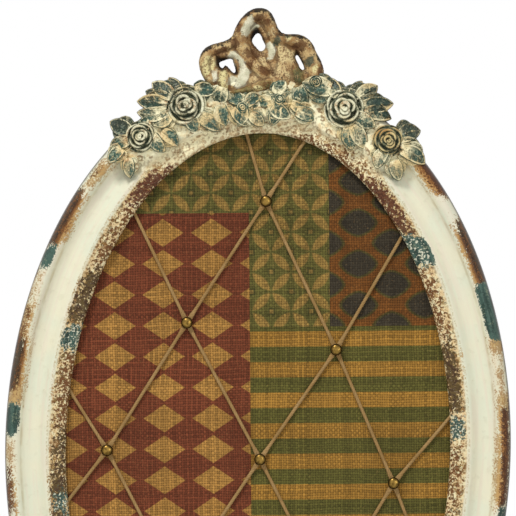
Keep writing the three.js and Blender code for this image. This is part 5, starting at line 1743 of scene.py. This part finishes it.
def screw_parts(place, under_head, turn):
    """A slotted pan head, whose underside lies under_head behind the back, on its shank."""
    lines = SCREW_HEAD * np.sin(np.linspace(-math.pi / 2, math.pi / 2, SCREW_ROWS + 1)[1:-1])
    walls = [-SLOT_HALF - 0.03, -SLOT_HALF, SLOT_HALF, SLOT_HALF + 0.03]
    lines = np.sort(np.concatenate([lines[np.abs(np.abs(lines) - SLOT_HALF) > 0.06], walls]))[:, None]
    chord = np.sqrt(SCREW_HEAD**2 - lines**2)
    share = np.sin(np.linspace(-math.pi / 2, math.pi / 2, SCREW_COLUMNS))[None]
    reach = np.hypot(lines, chord * share) / SCREW_HEAD
    crown = SCREW_HEAD_HEIGHT * np.sqrt(np.clip(1 - 0.93 * reach**5, 0, 1))
    crown = np.where(np.abs(lines) <= SLOT_HALF, np.minimum(crown, SCREW_HEAD_HEIGHT - SLOT_DEPTH), crown)
    top = np.stack([chord * share, lines + 0 * share, crown], -1)
    under = top[:, ::-1] * (1, 1, 0)
    head = np.concatenate([top, under], 1)
    faces = closed_grid(*head.shape[:2])
    head = set_down(head.reshape(-1, 3) * (1, 1, -1) - (0, 0, under_head), place, turn)
    point = SCREW_REACH - under_head
    shank = [(0.05, -under_head - 0.1), (SCREW_SHANK, -under_head - 0.1), (SCREW_SHANK, point - SCREW_SHANK),
             (0.05, point)]
    return [(head, faces), turned(shank, SHANK_SIDES, place)]


def stadium(reach, steps=24):
    """The turn button's outline with ends of a given radius, from its tail to its far end."""
    far, near = BUTTON_LENGTH - BUTTON_TAIL - BUTTON_END, BUTTON_END - BUTTON_TAIL
    bend = np.linspace(-math.pi / 2, math.pi / 2, steps)
    right = np.stack([far + reach * np.cos(bend), reach * np.sin(bend)], -1)
    return np.concatenate([right, right[::-1] * (-1, 1) + (far + near, 0)])


def button_parts(place, turn):
    """A pressed plate with a hole for its screw, rolled edges and a raised rib along its arm."""
    hole = (stadium(1) - stadium(0)) * (SCREW_SHANK + SEAT_GAP)

    def loop(share, trim, height, raised=0.0):
        plan = lerp(hole, stadium(BUTTON_END - trim), share)
        x, y = plan.T
        arm = smoothstep(4.5, 7, x) * smoothstep(20.5, 17, x) * smoothstep(2.7, 1.5, np.abs(y))
        return np.column_stack([plan, height - raised * arm])

    front, back = -SEAT_GAP, -SEAT_GAP - BUTTON_THICKNESS
    rings = [loop(0, 0, front), loop(1, 0.3, front), loop(1, 0, front - 0.3), loop(1, 0, back + 0.4),
             loop(1, 0.12, back + 0.12), loop(1, 0.45, back)]
    rings += [loop(share, 0.45, back, BUTTON_RIB) for share in np.linspace(0.94, 0, 18)]
    rows = np.array(rings)
    return set_down(rows, place, turn), grid_faces(*rows.shape[:2], wrap_rows=True, wrap_columns=True)


LOOP_RADIUS = RING_WIRE / 2 + RING_CLEARANCE + STRAP_SHEET
BAR_DROP = SEAT_GAP + LOOP_RADIUS
STRAP_FRONT = SEAT_GAP + 2 * STRAP_SHEET
# The strip's corners, with the edges of the sheet a little broken, as shares of its half sizes
STRAP_SECTION = [
    (-1, -0.6), (-0.98, -1), (0.98, -1), (1, -0.6), (1, 0.6), (0.98, 1), (-0.98, 1), (-1, 0.6),
]


def strap_parts(x, bar_up):
    """A strip of sheet that is folded over the ring's bar, with rounded ends."""
    middle = LOOP_RADIUS - STRAP_SHEET / 2
    first, second = -SEAT_GAP - STRAP_SHEET / 2, -SEAT_GAP - 1.5 * STRAP_SHEET
    path = [(along, first) for along in (-STRAP_LENGTH, -STRAP_LENGTH + 0.7, -STRAP_LENGTH + 2, -12, -5)]
    bend = np.radians(np.arange(90, -146, -12))
    path += [(middle * math.cos(angle), -BAR_DROP + middle * math.sin(angle)) for angle in bend]
    path += [(-2.6, second - 0.04)]
    path += [(along, second) for along in (-5, -12, -STRAP_LENGTH + 2, -STRAP_LENGTH + 0.7, -STRAP_LENGTH)]
    line = smooth_line([(0, *stop) for stop in path], 0.35)
    along = np.gradient(line, axis=0)
    ways = np.stack([along[:, 0], -along[:, 2], along[:, 1]], -1)
    to_end = np.clip((line[:, 1] + STRAP_LENGTH) / 2, 0, 1)
    half = STRAP_WIDTH / 2 - 2 * (1 - np.sqrt(1 - (1 - to_end) ** 2))
    knots = [(place + (x, bar_up, 0), way, half_width, STRAP_SHEET / 2)
             for place, way, half_width in zip(line, ways, half)]
    return tube(knots, STRAP_SECTION)


def ring_parts(x, bar_up):
    """A bent wire with a straight bar, which hangs against its strap."""
    half = (RING_INNER_WIDTH + RING_WIRE) / 2
    bow = np.linspace(0, math.pi, 29)
    lean = math.asin((STRAP_FRONT + SEAT_GAP + RING_WIRE / 2 - BAR_DROP) / RING_REACH)
    flat = [(half * math.cos(angle), RING_REACH * math.sin(angle)) for angle in bow]
    flat += [(-half * share, 0) for share in (0.9, 0.6, 0.2, -0.2, -0.6, -0.9)]
    line = smooth_line([(across, down, 0) for across, down in flat], 0.7, closed=True)
    across, down = line[:, 0], line[:, 1]
    places = np.stack([x + across, bar_up - down * math.cos(lean), -BAR_DROP - down * math.sin(lean)], -1)
    way = (0, -math.sin(lean), math.cos(lean))
    knots = [(place, way, RING_WIRE / 2, RING_WIRE / 2) for place in places]
    return tube(knots, round_section(RING_SIDES), capped=False)


def staple_parts(name):
    """A bent wire whose crown lies along the panel's edge and whose legs are in the core."""
    low, high = board_box(name)
    seat = (low[:2] + high[:2]) / 2
    turn = math.atan2(seat[1] / HALF_HEIGHT, seat[0] / HALF_WIDTH)
    normal = np.array([math.cos(turn) / HALF_WIDTH, math.sin(turn) / HALF_HEIGHT])
    normal /= np.linalg.norm(normal)
    across = np.array([-normal[1], normal[0]])
    spans = high[:2] - low[:2]
    half = (np.linalg.norm(spans) - STAPLE_WIRE * (abs(across).sum() - 1)) / 2 - STAPLE_WIRE / 2
    half = min(half, 3.5 - STAPLE_WIRE / 2)
    crown, foot = low[2] + STAPLE_WIRE / 2, high[2]
    bend = np.radians(np.linspace(0, 90, 5))
    corner = [(-half + STAPLE_BEND * (1 - math.sin(angle)), crown + STAPLE_BEND * (1 - math.cos(angle)))
              for angle in bend]
    left = [(-half, foot), (-half, (foot + crown) / 2), *corner[::-1]]
    path = left + [(-out, rise) for out, rise in left[::-1]]
    line = smooth_line([(out, 0, rise) for out, rise in path], 0.4)
    places = np.concatenate([seat + line[:, :1] * across, line[:, 2:]], 1)
    knots = [(place, (*normal, 0), STAPLE_WIRE / 2, STAPLE_WIRE / 2) for place in places]
    return tube(knots, round_section(STAPLE_SIDES))


def bumper_parts(place, wall):
    """A rubber disc that flares towards the board, with rounded edges."""
    # How far each row lies inside the widest one, and its height
    rows = [(BUMPER_FLARE, -SEAT_GAP), (0.1, -SEAT_GAP - 0.3), (0, -SEAT_GAP - 0.9),
    (BUMPER_FLARE / 2, wall + 1),
            (BUMPER_FLARE, wall + 0.5), (2 * BUMPER_FLARE, wall + 0.12), (2, wall)]
    profile = [(BUMPER_RADIUS - inside, height) for inside, height in rows]
    return turned([(0.05, -SEAT_GAP), *profile, (0.05, wall)], BUMPER_SIDES, place)


def zinc_look():
    look = Look("zinc_steel")
    spangle = look.cells(3.2)
    haze, fine = look.noise(7, 3, 0.6), look.noise(0.8, 2, 0.6)
    colour = look.mix(haze.ramp(0.35, 0.65), (0.74, 0.75, 0.74), (0.6, 0.61, 0.6))
    colour = look.mix((fine + haze * 0.5).ramp(0.78, 0.98) * 0.5, colour, (0.45, 0.42, 0.36))
    normal = look.bump(fine + spangle * 0.1, 0.04, 0.5)
    return look.finish(colour, 0.3 + haze * 0.25, normal, metallic=1.0)


def black_steel_look():
    look = Look("black_steel")
    haze, fine = look.noise(9, 3, 0.6), look.noise(0.7, 2, 0.6)
    colour = look.mix(haze.ramp(0.4, 0.65), (0.11, 0.105, 0.1), (0.17, 0.165, 0.155))
    colour = look.mix((fine + haze * 0.6).ramp(0.86, 1.0) * 0.7, colour, (0.36, 0.34, 0.31))
    return look.finish(colour, 0.38 + fine * 0.15, look.bump(fine, 0.05, 0.6), specular_ior_level=0.6)


def rubber_look():
    look = Look("rubber")
    dust, fine = look.noise(6, 3, 0.6), look.noise(0.5, 2, 0.6)
    colour = look.mix(dust.ramp(0.45, 0.75) * 0.6, (0.13, 0.125, 0.12), (0.24, 0.23, 0.215))
    return look.finish(colour, 0.75, look.bump(fine, 0.08, 0.7), specular_ior_level=0.3)


zinc, black_steel, rubber = zinc_look(), black_steel_look(), rubber_look()
for number, turn in enumerate(BUTTON_TURNS, 1):
    place = oval(turn * DEGREES, BUTTON_INSET)
    inwards = math.atan2(-place[1], -place[0])
    name, screw = f"turn_button_{number}", f"button_screw_{number}"
    add_piece(make_mesh(name, *button_parts(place, inwards)), black_steel, [name], body=name)
    bodies = screw_parts(place, 2 * SEAT_GAP + BUTTON_THICKNESS, inwards)
    add_piece(mesh_of_bodies(screw, bodies), zinc, [screw])
for side, turn in HANGER_TURNS.items():
    x, up = oval(turn * DEGREES, HANGER_INSET)
    bar_up = up + STRAP_LENGTH / 2
    strap, ring, screw = f"hanger_strap_{side}", f"hanger_ring_{side}", f"hanger_screw_{side}"
    add_piece(make_mesh(strap, *strap_parts(x, bar_up)), zinc, [strap])
    add_piece(make_mesh(ring, *ring_parts(x, bar_up)), zinc, [ring], body=ring)
    bodies = screw_parts((x, bar_up - STRAP_SCREW_DROP), STRAP_FRONT + SEAT_GAP, 0)
    add_piece(mesh_of_bodies(screw, bodies), zinc, [screw])
for number in range(1, STAPLE_COUNT + 1):
    name = f"staple_{number}"
    add_piece(make_mesh(name, *staple_parts(name)), zinc, [name])
for side, turn in BUMPER_TURNS.items():
    name = f"wall_bumper_{side}"
    disc = make_mesh(name, *bumper_parts(oval(turn * DEGREES, BUMPER_INSET), BACK_Y))
    add_piece(disc, rubber, [name])

# Camera and light

CAMERA_DISTANCE = 3000
PHOTO_WIDTH = 438.6
SENSOR = 36
CAMERA_ACROSS = -3.3
CAMERA_UP = 161.5
camera = bpy.data.objects.new("camera", bpy.data.cameras.new("camera"))
bpy.context.scene.collection.objects.link(camera)
camera.data.sensor_width = SENSOR
camera.data.lens = SENSOR * CAMERA_DISTANCE / PHOTO_WIDTH
camera.data.clip_end = 100
camera.location = Vector((CAMERA_ACROSS, BACK_Y - RIDGE - CAMERA_DISTANCE, CENTRE_Z + CAMERA_UP)) * MM
camera.rotation_euler = Euler((math.pi / 2, -PHOTO_TURN, 0))
bpy.context.scene.camera = camera
bpy.context.scene.view_settings.view_transform = "Standard"


# Lamps: place in metres, size and power
LAMPS = {"key": ((-1.0, -1.9, 2.5), 0.8, 74), "fill": ((1.8, -2.6, 0.4), 1.4, 14)}
LAMP_AIM = (0, -0.03, -0.1)
for name, (place, size, power) in LAMPS.items():
    lamp = bpy.data.lights.new(name, "AREA")
    lamp.shape = "DISK"
    lamp.size = size
    lamp.energy = power
    held = bpy.data.objects.new(name, lamp)
    bpy.context.scene.collection.objects.link(held)
    held.location = place
    held.rotation_euler = (Vector(LAMP_AIM) - Vector(place)).to_track_quat("-Z", "Y").to_euler()

# A soft light from all round, and a white background
SKY_STRENGTH = 0.45
world = bpy.data.worlds.new("studio")
bpy.context.scene.world = world
world.use_nodes = True
sky = world.node_tree
lit = sky.nodes["Background"]
shown = sky.nodes.new("ShaderNodeBackground")
for background, strength in ((lit, SKY_STRENGTH), (shown, 1)):
    background.inputs["Color"].default_value = (1, 1, 1, 1)
    background.inputs["Strength"].default_value = strength
path = sky.nodes.new("ShaderNodeLightPath")
straight = path.outputs["Is Camera Ray"]
for ray in ("Is Glossy Ray", "Is Transmission Ray"):
    either = sky.nodes.new("ShaderNodeMath")
    either.operation = "MAXIMUM"
    sky.links.new(straight, either.inputs[0])
    sky.links.new(path.outputs[ray], either.inputs[1])
    straight = either.outputs[0]
chosen = sky.nodes.new("ShaderNodeMixShader")
sky.links.new(straight, chosen.inputs[0])
sky.links.new(lit.outputs[0], chosen.inputs[1])
sky.links.new(shown.outputs[0], chosen.inputs[2])
sky.links.new(chosen.outputs[0], sky.nodes["World Output"].inputs["Surface"])

FLOOR_DROP = 40
FLOOR_REACH = 1500
floor_z = CENTRE_Z - HALF_HEIGHT - FLOOR_DROP
floor_mesh = bpy.data.meshes.new("floor")
floor_mesh.from_pydata([(x * FLOOR_REACH * MM, y * FLOOR_REACH * MM, floor_z * MM)
                        for x, y in ((-1, -1), (1, -1), (1, 1), (-1, 1))], [], [(0, 1, 2, 3)])
floor = bpy.data.objects.new("floor", floor_mesh)
bpy.context.scene.collection.objects.link(floor)
floor_mesh.materials.append(Look("floor").finish((0.95, 0.95, 0.94), 0.8, specular_ior_level=0.2))
